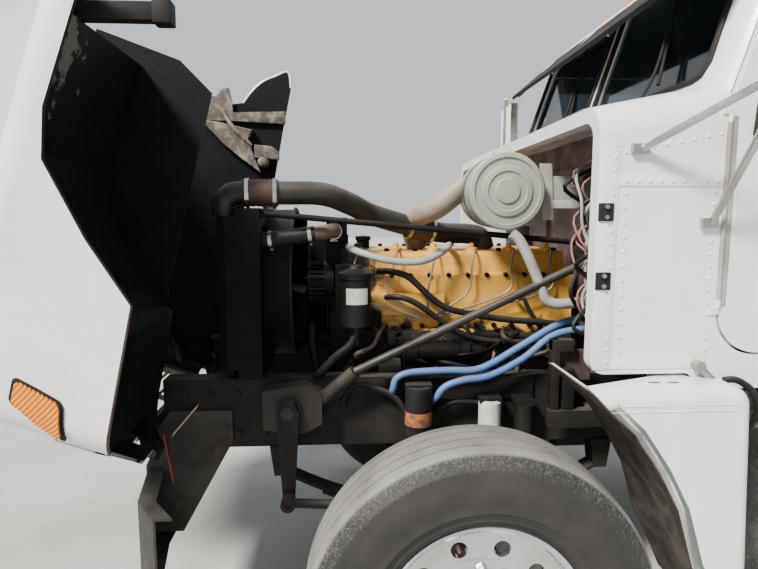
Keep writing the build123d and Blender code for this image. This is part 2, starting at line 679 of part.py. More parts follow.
def engine():
    """The in-line engine: crankcase, head and cover with its ribs, sump, and feet on the rails."""
    rear, front = ENGINE_REAR_X, ENGINE_FRONT_X
    waist = ENGINE_HALF - 45
    case = slab_front([
        (-waist, ENGINE_BASE), (waist, ENGINE_BASE), (ENGINE_HALF, ENGINE_BASE + 90), (ENGINE_HALF, 1150),
        (ENGINE_HALF - 20, 1190), (ENGINE_HALF - 20, ENGINE_DECK), (-ENGINE_HALF + 20, ENGINE_DECK),
        (-ENGINE_HALF + 20, 1190), (-ENGINE_HALF, 1150), (-ENGINE_HALF, ENGINE_BASE + 90),
    ], rear, front)
    cover = slab_front([
        (-ENGINE_HALF + 40, ENGINE_DECK - 1), (ENGINE_HALF - 40, ENGINE_DECK - 1),
        (ENGINE_HALF - 55, COVER_TOP), (-ENGINE_HALF + 55, COVER_TOP),
    ], rear + 30, front - 30, {2: 25, 3: 25})
    sump = slab_side([
        (rear + 40, ENGINE_BASE + 1), (rear + 40, 640), (-150, 600), (230, 600), (front - 60, ENGINE_BASE + 1),
    ], -190, 190)
    whole = case + cover + sump
    pitch = (front - rear) / COVER_RIBS
    for rib in range(COVER_RIBS):
        x = rear + pitch * (rib + 0.5)
        whole += slab_front([
            (ENGINE_HALF - 25, ENGINE_BASE + 110), (ENGINE_HALF + 14, ENGINE_BASE + 150),
            (ENGINE_HALF + 14, 1120), (ENGINE_HALF - 25, 1230),
        ], x - 16, x + 16)
    for x in MOUNT_FEET:
        for _, side in SIDES:
            foot = block((x - 55, x + 55), (ENGINE_HALF - 10, RAIL_IN - SEAT), (900, 965))
            whole += sided(foot, side)
    return whole


ALTERNATOR = (488.0, 250.0, 1405.0)
NECK_Y = 215.0
NECK_RISE = 140.0
CAN_X = 345.0
CAN_Y = 450.0
CAN_LOW = 1259.0
CAN_HIGH = 1477.0
CAN_R = 58.0


def engine_front():
    """What the engine's front end carries: pulleys, the fan's shaft, the alternator and the coolant neck."""
    front = ENGINE_FRONT_X + SEAT
    plate = slab_front([
        (-250, 800), (250, 800), (270, 1100), (240, 1425), (-200, 1425), (-270, 1100),
    ], front, front + 45)
    crank = rod((front + 40, 0, 880), (front + 100, 0, 880), 105)
    shaft = rod((front + 40, 0, FAN_Z), (FAN_X - 11, 0, FAN_Z), FAN_SHAFT_R)
    pulley = rod((front + 40, 0, FAN_Z), (front + 80, 0, FAN_Z), 85)
    x, y, z = ALTERNATOR
    alternator = rod((front + 30, y, z), (x + 45, y, z), 72)
    neck = block((front, front + 60), (110, NECK_Y), (1395, 1570))
    neck += block((ENGINE_FRONT_X - 25, front + 60), (110, NECK_Y), (COVER_TOP + RUN, COVER_TOP + NECK_RISE))
    return plate + crank + shaft + pulley + alternator + neck


def fuel_can():
    """The black can on the engine's side, with its cone and the pipe stub under it."""
    body = Pos(CAN_X, CAN_Y, 0) * revolve(make_face(Polyline(
        (0, 0, CAN_LOW - 40), (16, 0, CAN_LOW - 40), (16, 0, CAN_LOW), (CAN_R, 0, CAN_LOW),
        (CAN_R, 0, CAN_HIGH - 38), (CAN_R + 8, 0, CAN_HIGH - 38), (CAN_R + 8, 0, CAN_HIGH - 26), (26, 0, CAN_HIGH),
        (0, 0, CAN_HIGH), close=True)), Axis.Z)
    arm = block((CAN_X - 22, CAN_X + 22), (ENGINE_HALF - 20 + SEAT, CAN_Y - CAN_R + 12), (1330, 1400))
    return body + arm


# Each spin-on filter: X, radius, bottom and top
FILTERS = ((110.0, 50.0, 850.0, 1040.0), (-165.0, 42.0, 835.0, 985.0), (-300.0, 36.0, 850.0, 975.0))
FILTER_Y = 500.0


def filters():
    """Spin-on filters under a bracket on the left rail's outer face."""
    near = RAIL_OUT + SEAT
    whole = block((-350, 230), (near, near + 14), (960, RAIL_TOP - 4))
    for x, radius, low, high in FILTERS:
        whole += rod((x, FILTER_Y, low), (x, FILTER_Y, high - 20), radius)
        whole += block((x - radius, x + radius), (near, FILTER_Y + 22), (high - 22, high))
    return whole


CORE_THICK = 90.0
SHROUD_R = FAN_R + 22.0


def radiator():
    """The radiator with its side tanks, the charge cooler before it, and the fan's round shroud."""
    low = RAIL_TOP + SEAT
    rear = RADIATOR_X
    front = rear + CORE_THICK
    tank = RADIATOR_HALF - 55
    core = block((rear + 12, front - 8), (-tank - 1, tank + 1), (low + 40, RADIATOR_TOP - 30))
    frame = both(block((rear, front), (tank, RADIATOR_HALF), (low, RADIATOR_TOP)))
    top = block((rear, front), (-tank - 1, tank + 1), (RADIATOR_TOP - 70, RADIATOR_TOP))
    bottom = block((rear, front), (-tank - 1, tank + 1), (low, low + 45))
    cooler = block((front - 1, front + 62), (-tank + 20, tank - 20), (low + 60, RADIATOR_TOP - 50))
    ends = both(slab_top([
        (front - 1, tank - 22), (front + 70, tank - 10), (front + 70, RADIATOR_HALF - 12),
        (front + 40, RADIATOR_HALF), (front - 1, RADIATOR_HALF),
    ], low + 40, RADIATOR_TOP - 30))
    ring = tube((FAN_X + 10, 0, FAN_Z), (rear + 13, 0, FAN_Z), SHROUD_R, 9)
    return core + frame + top + bottom + cooler + ends + ring


BLADES = 8


def fan():
    """The engine-driven fan: a ring hub with pitched blades."""
    hub = rod((FAN_X - 24, 0, FAN_Z), (FAN_X + 26, 0, FAN_Z), 75)
    hub -= rod((FAN_X - 25, 0, FAN_Z), (FAN_X - 10, 0, FAN_Z), FAN_SHAFT_R + PIN_RUN)
    blade = Pos(FAN_X, 0, FAN_Z) * (Rot(0, 0, 62) * Pos(0, 0, (60 + FAN_R) / 2) * Box(6, 88, FAN_R - 60))
    whole = hub
    for number in range(BLADES):
        whole += blade.rotate(Axis((FAN_X, 0, FAN_Z), (1, 0, 0)), 360 * number / BLADES)
    return whole


CHARGE_R = 46.0
CHARGE_ROUTE = (
    (RADIATOR_X + CORE_THICK + 50, 385.0, RADIATOR_TOP - 30 + SEAT), (RADIATOR_X + CORE_THICK + 50, 385.0, 1758.0),
    (441.0, 350.0, 1758.0), (271.0, 190.0, 1675.0), (-32.0, 100.0, 1592.0), (-240.0, 60.0, 1592.0),
    (-240.0, 60.0, COVER_TOP + SEAT),
)
CHARGE_CUTS = (32.0, 50.0, 50.0, 50.0, 30.0)


def charge_pipe():
    """The pipe from the charge cooler over the engine to its intake."""
    return pipe(CHARGE_ROUTE, CHARGE_CUTS, CHARGE_R)


HOSE_R = 31.0
BLUE_R = 13.0
COOLANT_ROUTE = ((RADIATOR_X - SEAT, 362.0, 1578.0), (430.0, 362.0, 1610.0), (430.0, NECK_Y + SEAT, 1610.0))
HEATER_ROUTE = (
    (205.0, RAIL_OUT + 14 + 2 * SEAT, 1000.0), (205.0, 484.0, 1000.0), (190.0, 484.0, 1075.0), (-130.0, 484.0, 1092.0),
    (-430.0, 455.0, 1250.0), (-545.0, 440.0, 1278.0), (FIREWALL_X + 20 + SEAT, 440.0, 1278.0),
)
HEATER_CUTS = (9.0, 20.0, 40.0, 40.0, 30.0)


def coolant_hoses():
    """The top radiator hose, and the blue heater hose from the rail's side to the firewall."""
    return group(pipe(COOLANT_ROUTE, (60.0,), HOSE_R), pipe(HEATER_ROUTE, HEATER_CUTS, BLUE_R))


def air_cleaner():
    """The canister across the engine's rear, its cap and the duct stub, on a bracket from the firewall."""
    y = CLEANER_Y
    long = CLEANER_LONG
    can = turned([
        (y - long, 0), (y - long, CLEANER_R - 6), (y - 30, CLEANER_R - 6), (y - 30, CLEANER_R), (y - 12, CLEANER_R),
        (y - 12, CLEANER_R - 22), (y, CLEANER_R - 22), (y, 0),
    ], CLEANER_X, 0, CLEANER_Z)
    arm = block((FIREWALL_X + 20 + SEAT, CLEANER_X - CLEANER_R + 20), (y - 190, y - 70),
                (CLEANER_Z - 60, CLEANER_Z + 60))
    return can + arm


def stay_rods():
    """Two braces from the radiator's top to the firewall."""
    start = (RADIATOR_X - SEAT, RADIATOR_HALF - 40, 1680)
    end = (FIREWALL_X + 20 + SEAT, 430, 1560)
    feet = block((start[0] - 8, start[0]), (start[1] - 18, start[1] + 18), (start[2] - 18, start[2] + 18))
    feet += block((end[0], end[0] + 8), (end[1] - 18, end[1] + 18), (end[2] - 18, end[2] + 18))
    return both(feet + rod((start[0] - 4, *start[1:]), (end[0] + 4, *end[1:]), 11))


def exhaust_stack():
    """Muffler and stack behind the cab on the right, on a bracket across from the rail."""
    low = RAIL_TOP + SEAT
    foot = block((STACK_X - 45, STACK_X + 45), (STACK_Y - 60, -RAIL_OUT + 70), (low, low + 45))
    stack = Pos(STACK_X, STACK_Y, 0) * revolve(make_face(Polyline(
        (0, 0, low + 44), (STACK_R, 0, low + 44), (STACK_R, 0, MUFFLER_Z[0]), (MUFFLER_R, 0, MUFFLER_Z[0]),
        (MUFFLER_R, 0, MUFFLER_Z[1]), (STACK_R, 0, MUFFLER_Z[1]), (STACK_R, 0, STACK_TOP), (STACK_R - 5, 0, STACK_TOP),
        (STACK_R - 5, 0, STACK_TOP - 300), (0, 0, STACK_TOP - 300), close=True)), Axis.Z)
    return foot + stack


TANK_R = 285.0
TANK_Y = 765.0
TANK_Z = 700.0
TANK_FRONT = -980.0
TANK_REAR = -1880.0


def fuel_tank():
    """The round tank under the left door, on two brackets, with a hanging step."""
    near = RAIL_OUT + SEAT
    tank = rod((TANK_REAR, TANK_Y, TANK_Z), (TANK_FRONT, TANK_Y, TANK_Z), TANK_R)
    for x in (TANK_FRONT - 180, TANK_REAR + 180):
        tank += slab_side([(x - 35, TANK_Z - 260), (x + 35, TANK_Z - 260), (x + 35, 1000), (x - 35, 1000)],
                          near, near + 110)
    tread = block((TANK_FRONT - 420, TANK_FRONT - 60), (TANK_Y + 180, TANK_Y + 355), (TANK_Z - 170, TANK_Z - 140))
    return tank + tread


def battery_box():
    """The battery box with its two steps under the right door."""
    near = RAIL_OUT + SEAT
    box = slab_front([
        (-near, 560), (-near, 980), (-900, 980), (-900, 800), (-1080, 800), (-1080, 520), (-900, 520), (-900, 560),
    ], TANK_FRONT - 620, TANK_FRONT)
    box -= block((TANK_FRONT - 590, TANK_FRONT - 30), (-1085, -910), (560, 770))
    return box


# Cab

def cab_profile():
    """The cab and cowl from the side, as (X, Z) corners."""
    return [
        (CAB_FRONT_X, COWL_Z), (CAB_FRONT_X, COWL_TOP), (GLASS_BASE_X, GLASS_BASE_Z), (GLASS_TOP_X, GLASS_TOP_Z),
        (GLASS_TOP_X - 120, CAB_ROOF - 12), (CAB_BACK_X, CAB_ROOF), (CAB_BACK_X, CAB_FLOOR),
        (FIREWALL_X - 60, CAB_FLOOR), (FIREWALL_X, COWL_Z),
    ]


def top_edges(solid, half):
    """The long edges where a cab-shaped solid's sides meet its cowl, windshield and roof."""
    def on_top(edge):
        middle = edge.center()
        return abs(abs(middle.Y) - half) < 1 and middle.Z > COWL_TOP - 80 and abs(edge.tangent_at(0.5).Y) < 0.5 \
            and abs(edge.tangent_at(0.5).X) > 0.1
    return solid.edges().filter_by(on_top)


def glass_plane():
    """The windshield's plane: its own X runs across the truck and its own Y up the glass."""
    up = Vector(GLASS_TOP_X - GLASS_BASE_X, 0, GLASS_TOP_Z - GLASS_BASE_Z).normalized()
    across = Vector(0, 1, 0)
    return Plane((GLASS_BASE_X, 0, GLASS_BASE_Z), x_dir=across, z_dir=across.cross(up))


PANE_GAP = 28.0
PANE_OUT = 858.0
PANE_FOOT = 32.0
PANE_HEAD = 512.0


def pane(side, shrink):
    """One windshield half, as an outline on the glass plane."""
    points = [
        (side * (PANE_GAP + shrink), PANE_FOOT + shrink), (side * (PANE_OUT - shrink), PANE_FOOT + shrink),
        (side * (PANE_OUT - 26 - shrink), PANE_HEAD - shrink), (side * (PANE_GAP + shrink), PANE_HEAD - shrink),
    ]
    return outline(points, {1: 45 - shrink, 2: 45 - shrink})


REAR_GLASS = ((-520.0, 520.0), (CAB_ROOF - 740.0, CAB_ROOF - 320.0))


def door_outline(grow):
    """The door from the side, grown by a gap all around."""
    lean = (GLASS_TOP_X - GLASS_BASE_X) / (GLASS_TOP_Z - GLASS_BASE_Z)
    knee = 1990.0
    head_x = DOOR_FRONT_X + lean * (DOOR_TOP - knee)
    return [
        (DOOR_FRONT_X + grow, DOOR_BOTTOM - grow), (DOOR_FRONT_X + grow, knee),
        (head_x + grow, DOOR_TOP + grow), (DOOR_REAR_X - grow, DOOR_TOP + grow),
        (DOOR_REAR_X - grow, DOOR_BOTTOM - grow),
    ]


def window_outline(shrink):
    """The door window from the side."""
    return [
        (DOOR_FRONT_X - 75 - shrink, WINDOW_LOW + shrink), (DOOR_FRONT_X - 85 - shrink, WINDOW_LOW + 130),
        (DOOR_FRONT_X - 222 - shrink, WINDOW_HIGH - shrink), (DOOR_REAR_X + 85 + shrink, WINDOW_HIGH - shrink),
        (DOOR_REAR_X + 85 + shrink, WINDOW_LOW + shrink),
    ]


WINDOW_LOW = DOOR_BOTTOM + 620.0
WINDOW_HIGH = DOOR_TOP - 70.0
DOOR_ROUND = {0: 130, 2: 40, 3: 50, 4: 50}
WINDOW_ROUND = {0: 30, 2: 30, 3: 40, 4: 40}


def cab_shell():
    """The hollow cab with its cowl, open to the engine bay, with door, windshield and rear openings."""
    shell = slab_side(cab_profile(), -CAB_HALF, CAB_HALF, {0: COWL_ROUND})
    shell = fillet(top_edges(shell, CAB_HALF), CAB_EDGE_R)
    inner = offset(outline(cab_profile()), amount=-CAB_WALL, kind=Kind.INTERSECTION)
    half = CAB_HALF - CAB_WALL
    hollow = extrude(Plane((0, half, 0), x_dir=(1, 0, 0), z_dir=(0, -1, 0)) * inner, amount=2 * half)
    hollow = fillet(top_edges(hollow, half), CAB_EDGE_R - CAB_WALL)
    shell -= hollow
    front_top = COWL_TOP - CAB_WALL
    mouth = slab_front([(-half, COWL_Z - 20), (half, COWL_Z - 20), (half, front_top), (-half, front_top)],
                       CAB_FRONT_X - CAB_WALL - 10, CAB_FRONT_X + 10, {2: CAB_EDGE_R - CAB_WALL,
                                                                      3: CAB_EDGE_R - CAB_WALL})
    shell -= mouth
    shell -= block((FIREWALL_X - SEAT, CAB_FRONT_X + 10), (-half, half), (COWL_Z - 20, COWL_Z + CAB_WALL + 10))
    doorway = slab_side(door_outline(DOOR_GAP), -CAB_HALF - 10, CAB_HALF + 10, DOOR_ROUND)
    shell -= doorway
    plane = glass_plane()
    for side in (1, -1):
        shell -= extrude(plane * pane(side, 0), amount=90, both=True)
    (y_low, y_high), (z_low, z_high) = REAR_GLASS
    shell -= block((CAB_BACK_X - 10, CAB_BACK_X + CAB_WALL + 10), (y_low, y_high), (z_low, z_high))
    low, high = HINGE_Z
    for _, side in SIDES:
        shell -= sided(rod((HINGE_X, HINGE_Y, low - 1), (HINGE_X, HINGE_Y, high + 1), HINGE_R + PIN_RUN), side)
        for end, inward in ((low, 1), (high, -1)):
            holder = block((HINGE_X - 1, HINGE_X + 24), (CAB_HALF - 8, HINGE_Y + HINGE_PIN_R),
                           sorted((end - inward, end - inward * 21)))
            holder += rod((HINGE_X, HINGE_Y, end - inward * 20), (HINGE_X, HINGE_Y, end + inward * 22), HINGE_PIN_R)
            shell += sided(holder, side)
    return shell


def cab_glass():
    """Two windshield panes and the rear window, set in the middle of their walls."""
    plane = glass_plane()
    set_back = plane.offset(-CAB_WALL / 2) if plane.z_dir.X > 0 else plane.offset(CAB_WALL / 2)
    panes = [extrude(set_back * pane(side, SEAT), amount=GLASS / 2, both=True) for side in (1, -1)]
    (y_low, y_high), (z_low, z_high) = REAR_GLASS
    middle = CAB_BACK_X + CAB_WALL / 2
    rear = block((middle - GLASS / 2, middle + GLASS / 2), (y_low + SEAT, y_high - SEAT), (z_low + SEAT, z_high - SEAT))
    return group(*panes, rear)


def door(side):
    """A cab door with its window cut, and its hinge barrel bored at both ends for the cab's pins."""
    panel = slab_side(door_outline(0), CAB_HALF - CAB_WALL, CAB_HALF, DOOR_ROUND)
    panel -= slab_side(window_outline(0), CAB_HALF - CAB_WALL - 1, CAB_HALF + 1, WINDOW_ROUND)
    low, high = HINGE_Z
    panel += rod((HINGE_X, HINGE_Y, low), (HINGE_X, HINGE_Y, high), HINGE_R)
    for end, inward in ((low, 1), (high, -1)):
        panel -= rod((HINGE_X, HINGE_Y, end - inward * 22), (HINGE_X, HINGE_Y, end + inward * 23),
                     HINGE_PIN_R + PIN_RUN)
    return sided(panel, side)


def door_glass(side):
    """The glass in a door's window."""
    middle = CAB_HALF - CAB_WALL / 2
    rounding = {corner: radius - SEAT for corner, radius in WINDOW_ROUND.items()}
    return sided(slab_side(window_outline(SEAT), middle - GLASS / 2, middle + GLASS / 2, rounding), side)


def firewall():
    """The wall between the engine bay and the cab, recessed inside the cowl."""
    half = CAB_HALF - CAB_WALL - SEAT
    return slab_front([
        (-half, CAB_FLOOR + CAB_WALL + 10), (half, CAB_FLOOR + CAB_WALL + 10), (half, COWL_TOP + 4), (-half, COWL_TOP + 4),
    ], FIREWALL_X, FIREWALL_X + 20, {2: 62, 3: 62})


def visor():
    """The outside sun visor over the windshield."""
    slope = (CAB_ROOF - 12 - GLASS_TOP_Z) / -120
    x = GLASS_TOP_X - 15
    z = GLASS_TOP_Z + slope * (x - GLASS_TOP_X) + 2 * SEAT
    brow_x = GLASS_TOP_X + VISOR_REACH
    brow_z = GLASS_TOP_Z - VISOR_DROP
    return slab_side([(brow_x, brow_z), (x, z), (x - 14, z + 16), (brow_x + 5, brow_z + 18)],
                     -CAB_HALF + 12, CAB_HALF - 12)


SEAT_PLACES = (455.0, -455.0)


def cab_interior():
    """The dash across the cab and the two seats on their pedestals."""
    half = CAB_HALF - CAB_WALL - 8
    dash = slab_side([
        (FIREWALL_X - SEAT, 1560), (FIREWALL_X - SEAT, 1960), (-760, 1955), (-890, 1870), (-900, 1720), (-800, 1600),
    ], -half, half)
    floor = CAB_FLOOR + CAB_WALL + SEAT
    shapes = [dash]
    for y in SEAT_PLACES:
        pedestal = block((-1660, -1330), (y - 170, y + 170), (floor, 1430))
        cushion = slab_side([(-1180, 1440), (-1180, 1520), (-1690, 1500), (-1690, 1420)], y - 250, y + 250,
                            {0: 35, 1: 35})
        back = slab_side([(-1640, 1500), (-1760, 2220), (-1850, 2220), (-1790, 1450), (-1660, 1430)],
                         y - 240, y + 240, {1: 40, 2: 40})
        shapes.append(pedestal + cushion + back)
    return group(*shapes)


# Each mirror strut: the foot on the cab's side, and the head end
MIRROR_FEET = ((-462.0, 1860.0), (-680.0, 1650.0))
MIRROR_X = -690.0
MIRROR_Y = 1250.0
MIRROR_ARM_Z = 2030.0
MIRROR_LOW = MIRROR_ARM_Z - 70.0
MIRROR_HIGH = MIRROR_ARM_Z + 370.0
MIRROR_HALF = 95.0
MIRROR_ARM_R = 11.0


def mirrors():
    """Each side's two struts with their feet, and the mirror head they carry."""
    foot_y = CAB_HALF + SEAT
    whole = Part()
    for x, z in MIRROR_FEET:
        whole += block((x - 18, x + 30), (foot_y, foot_y + 16), (z - 14, z + 14))
        whole += rod((x, foot_y + 10, z), (MIRROR_X, MIRROR_Y, MIRROR_ARM_Z), MIRROR_ARM_R)
    whole += rod((MIRROR_X, MIRROR_Y, MIRROR_LOW - 60), (MIRROR_X, MIRROR_Y, MIRROR_HIGH + 40), MIRROR_ARM_R + 3)
    whole += slab_front([
        (MIRROR_Y - MIRROR_HALF, MIRROR_LOW), (MIRROR_Y + MIRROR_HALF, MIRROR_LOW),
        (MIRROR_Y + MIRROR_HALF, MIRROR_HIGH), (MIRROR_Y - MIRROR_HALF, MIRROR_HIGH),
    ], MIRROR_X - 52, MIRROR_X - 8)
    return both(whole)


def quarter_fenders():
    """The fixed fender behind each front wheel: outer skin, top and rear wall, and the arch liner."""
    top = COWL_Z - 10
    tip_x, tip_y = QUARTER_TIP
    rear = QUARTER_REAR_X

    def profile(inset):
        low = QUARTER_LOW - inset * 9
        return [
            (tip_x - inset * 1.9, top - inset), (rear + inset, top - inset), (rear - 35 + inset, low),
            (-722 - inset * 5, low), (-655 - inset, 590), (-618 - inset, 653), (-566 - inset, 827), (-505 - inset, 943),
            (-427 - inset, 1057), (-349 - inset, 1129),
        ]

    def form(inset, y_low):
        out = FENDER_OUT - inset
        body = slab_side(profile(inset), y_low, out, {1: 60 - inset})
        edges = body.edges().filter_by(lambda edge: abs(edge.center().Y - out) < 1 and edge.center().Z > COWL_Z - 40)
        return fillet(edges, 40 - inset)

    outer = form(0, QUARTER_IN) - form(HOOD_WALL, QUARTER_IN - 1)
    near = QUARTER_IN - 1
    outer -= block((rear - 50, FIREWALL_X), (near, CAB_HALF + RUN), (CAB_FLOOR - SEAT, COWL_Z))
    outer -= slab_top([(tip_x + 5, near), (tip_x + 5, tip_y + 2), (FIREWALL_X - 3, 922), (FIREWALL_X - 3, near)],
                      top - HOOD_WALL - 1, COWL_Z)
    hanger = block((rear - 20, rear + 30), (RAIL_OUT + SEAT, QUARTER_IN + 40), (960, 1010))
    plate = slab_side([(rear - 9, 940), (rear + 65, 940), (rear + 125, 1100), (rear + 125, 1140), (rear - 3, 1140)],
                      QUARTER_IN, QUARTER_IN + 8)
    return both(outer + hanger + plate)


def cab_mounts():
    """The blocks between the rails and the cab's floor."""
    shapes = []
    for x in (CAB_BACK_X + 140, FIREWALL_X - 130):
        shapes.append(block((x - 60, x + 60), (RAIL_OUT - 78, RAIL_OUT), (RAIL_TOP + SEAT, CAB_FLOOR - SEAT)))
    return both(*shapes)


# Hood

def nose_section(x, half, top, low, inset):
    """The hood's middle cut across at one place along the truck."""
    corner = CAB_EDGE_R - inset
    points = [(-half + inset, low), (half - inset, low), (half - inset, top - inset), (-half + inset, top - inset)]
    plane = Plane((x, 0, 0), x_dir=(0, 1, 0), z_dir=(1, 0, 0))
    return plane * outline(points, {2: corner, 3: corner})


def hood_middle(inset):
    """The hood's tapering middle, from the cowl to the nose."""
    low = 700.0
    rear = nose_section(HOOD_REAR_X - (inset and 1), HOOD_REAR_HALF, HOOD_REAR_TOP, low, inset)
    nose = nose_section(HOOD_NOSE_X - inset, HOOD_NOSE_HALF, HOOD_NOSE_TOP, low, inset)
    return loft([rear, nose], ruled=True)


def sweep_cut(inset):
    """What a fender's front loses where it sweeps back in plan, as a solid outside the swept face."""
    along = Vector(SWEEP_TIP_X - FENDER_REACH, FENDER_OUT - SWEEP_Y).normalized()
    out = Vector(along.Y, -along.X)
    start = Vector(FENDER_REACH, SWEEP_Y) - out * inset
    side = FENDER_OUT - inset
    tip = start + along * ((side - start.Y) / along.Y)
    near = start - along * 300
    far = near + out * 400
    plan = [(near.X, near.Y), (tip.X, side), (tip.X - 200, side), (tip.X - 200, 1300), (tip.X + 600, 1300), (far.X, far.Y)]
    return slab_top(plan, 600, 1400, {1: FENDER_ROUND - inset})


def on_sweep(solid, depth, z):
    """A solid drawn about the origin, set into the left fender's swept face at a height and a depth."""
    along = Vector(SWEEP_TIP_X - FENDER_REACH, FENDER_OUT - SWEEP_Y).normalized()
    middle = Vector((SWEEP_TIP_X + FENDER_REACH) / 2, (FENDER_OUT + SWEEP_Y) / 2) - Vector(along.Y, -along.X) * depth
    return Pos(middle.X, middle.Y, z) * Rot(0, 0, math.degrees(math.atan2(-along.X, along.Y))) * solid


def hood_fender(inset):
    """A front fender's form, under the hood's shoulder."""
    reach = FENDER_REACH - inset
    form = slab_side([
        (HOOD_REAR_X - (inset and 1), 700), (HOOD_REAR_X - (inset and 1), FENDER_REAR_TOP - inset),
        (480, FENDER_REAR_TOP - 15 - inset), (880, 1195 - inset), (reach, 1010 - inset), (reach, 700),
    ], 300, FENDER_OUT - inset)
    edges = form.edges().filter_by(lambda edge: abs(edge.center().Y - FENDER_OUT + inset) < 1
                                   and edge.center().Z > 1005 and edge.center().X > HOOD_REAR_X + 10)
    return fillet(edges, FENDER_ROUND - inset) - sweep_cut(inset)


def wheel_well():
    """What the hood leaves open under the fender lips, from side to side."""
    return slab_side([
        (HOOD_REAR_X - 5, 690), (HOOD_REAR_X - 5, ARCH_Z), (40, ARCH_Z), (164, ARCH_Z - 33), (320, ARCH_Z - 190),
        (444, 867), (871, 812), (1060, 812), (1060, 690),
    ], -FENDER_OUT - 5, FENDER_OUT + 5)


SHIELD_Y = 500.0
GRILLE_HALF = 372.0
GRILLE_LOW = 880.0
GRILLE_TOP = 1640.0
LAMP_WIDE = 215.0
LAMP_HIGH = 105.0
LAMP_DEEP = 34.0
LAMP_Z = 932.5
SLATS = 13


def hood_shell():
    """The one-piece hood and fenders, hollow, with its grille and headlamp openings."""
    outer = hood_middle(0) + hood_fender(0) + mirrored(hood_fender(0))
    inner = hood_middle(HOOD_WALL) + hood_fender(HOOD_WALL) + mirrored(hood_fender(HOOD_WALL))
    shell = outer - inner - wheel_well()
    shell -= block((900, 1200), (-1200, 1200), (690, 800))
    shell -= block((HOOD_NOSE_X - 30, HOOD_NOSE_X + 5), (-GRILLE_HALF, GRILLE_HALF), (GRILLE_LOW, GRILLE_TOP))
    for _, side in SIDES:
        shell -= sided(on_sweep(Box(60, LAMP_WIDE, LAMP_HIGH), 0, LAMP_Z), side)
        shell -= sided(block((1030, 1130), (RAIL_OUT - RUN, PIVOT_Y + 24), (700, 880)), side)
    return opened(shell)


def hood_liners():
    """Inside the hood: each wheel well's liner and inboard splash panel, and the arms to the pivots."""
    out = FENDER_OUT - HOOD_WALL - SEAT
    thick = 6.0
    well = [
        (-200, 1228), (160, 1222), (290, 1165), (500, 985), (560, 880), (900, 832),
        (900, 838), (563, 887), (505, 991), (293, 1172), (162, 1229), (-200, 1235),
    ]
    liner = slab_side(well, FENDER_IN, out) - sweep_cut(HOOD_WALL + SEAT)
    panel = slab_side([
        (-262, 1400), (-262, 1117), (-198, 985), (474, 920), (980, 812), (1000, 1040), (800, 1170), (500, 1240),
        (200, 1400),
    ], FENDER_IN, FENDER_IN + thick)
    arm = slab_side([
        (PIVOT_X - 25, PIVOT_Z - 30), (PIVOT_X + 25, PIVOT_Z - 25), (PIVOT_X + 25, PIVOT_Z + 30),
        (PIVOT_X - 45, PIVOT_Z + 72), (PIVOT_X - 45, PIVOT_Z + 180), (PIVOT_X - 130, PIVOT_Z + 180),
        (PIVOT_X - 130, PIVOT_Z + 60),
    ], PIVOT_Y - 7, PIVOT_Y + 9)
    arm -= rod((PIVOT_X, PIVOT_Y - 10, PIVOT_Z), (PIVOT_X, PIVOT_Y + 12, PIVOT_Z), PIVOT_R + PIN_RUN)
    tie = block((PIVOT_X - 130, PIVOT_X - 104), (PIVOT_Y + 8, FENDER_IN + 1), (PIVOT_Z + 80, PIVOT_Z + 170))
    shield = slab_side([
        (-562, 949), (-519, 1005), (-467, 1058), (-400, 1094), (-334, 1115), (-290, 1200), (-100, 1240), (150, 1200),
        (200, 1000), (100, 860), (-27, 838), (-276, 878), (-492, 909),
    ], -SHIELD_Y - thick, -SHIELD_Y)
    stay = block((-100, 60), (-FENDER_IN - 1, -SHIELD_Y - thick + 1), (1080, 1140))
    left = liner + panel + arm + tie
    return opened(group(left, mirrored(left) + shield + stay))


def grille():
    """The grille's frame with its level slats and an upright in the middle."""
    half = GRILLE_HALF - SEAT
    low, high = GRILLE_LOW + SEAT, GRILLE_TOP - SEAT
    x = (HOOD_NOSE_X - 24, HOOD_NOSE_X - 2)
    frame = block(x, (-half, half), (low, high)) - block((x[0] - 1, x[1] + 1), (-half + 20, half - 20),
                                                        (low + 20, high - 20))
    whole = frame + block((x[0] + 2, x[1] - 2), (-10, 10), (low + 10, high - 10))
    pitch = (high - low - 40) / SLATS
    for slat in range(1, SLATS):
        z = low + 20 + slat * pitch
        whole += block((x[0] + 3, x[1] - 3), (-half + 10, half - 10), (z - 4, z + 4))
    return opened(whole)


def head_lamps():
    """The square head lamps in the fenders' fronts."""
    lamp = Box(LAMP_DEEP, LAMP_WIDE - 2 * SEAT, LAMP_HIGH - 2 * SEAT)
    return opened(both(on_sweep(lamp, LAMP_DEEP / 2 + 2, LAMP_Z)))


# Dump bed

POSTS = 7
RECESS_DEPTH = 345.0
RECESS_HALF = 130.0
RECESS_TOP = 2250.0
GATE_PIN_X = BED_REAR_X - 36.0


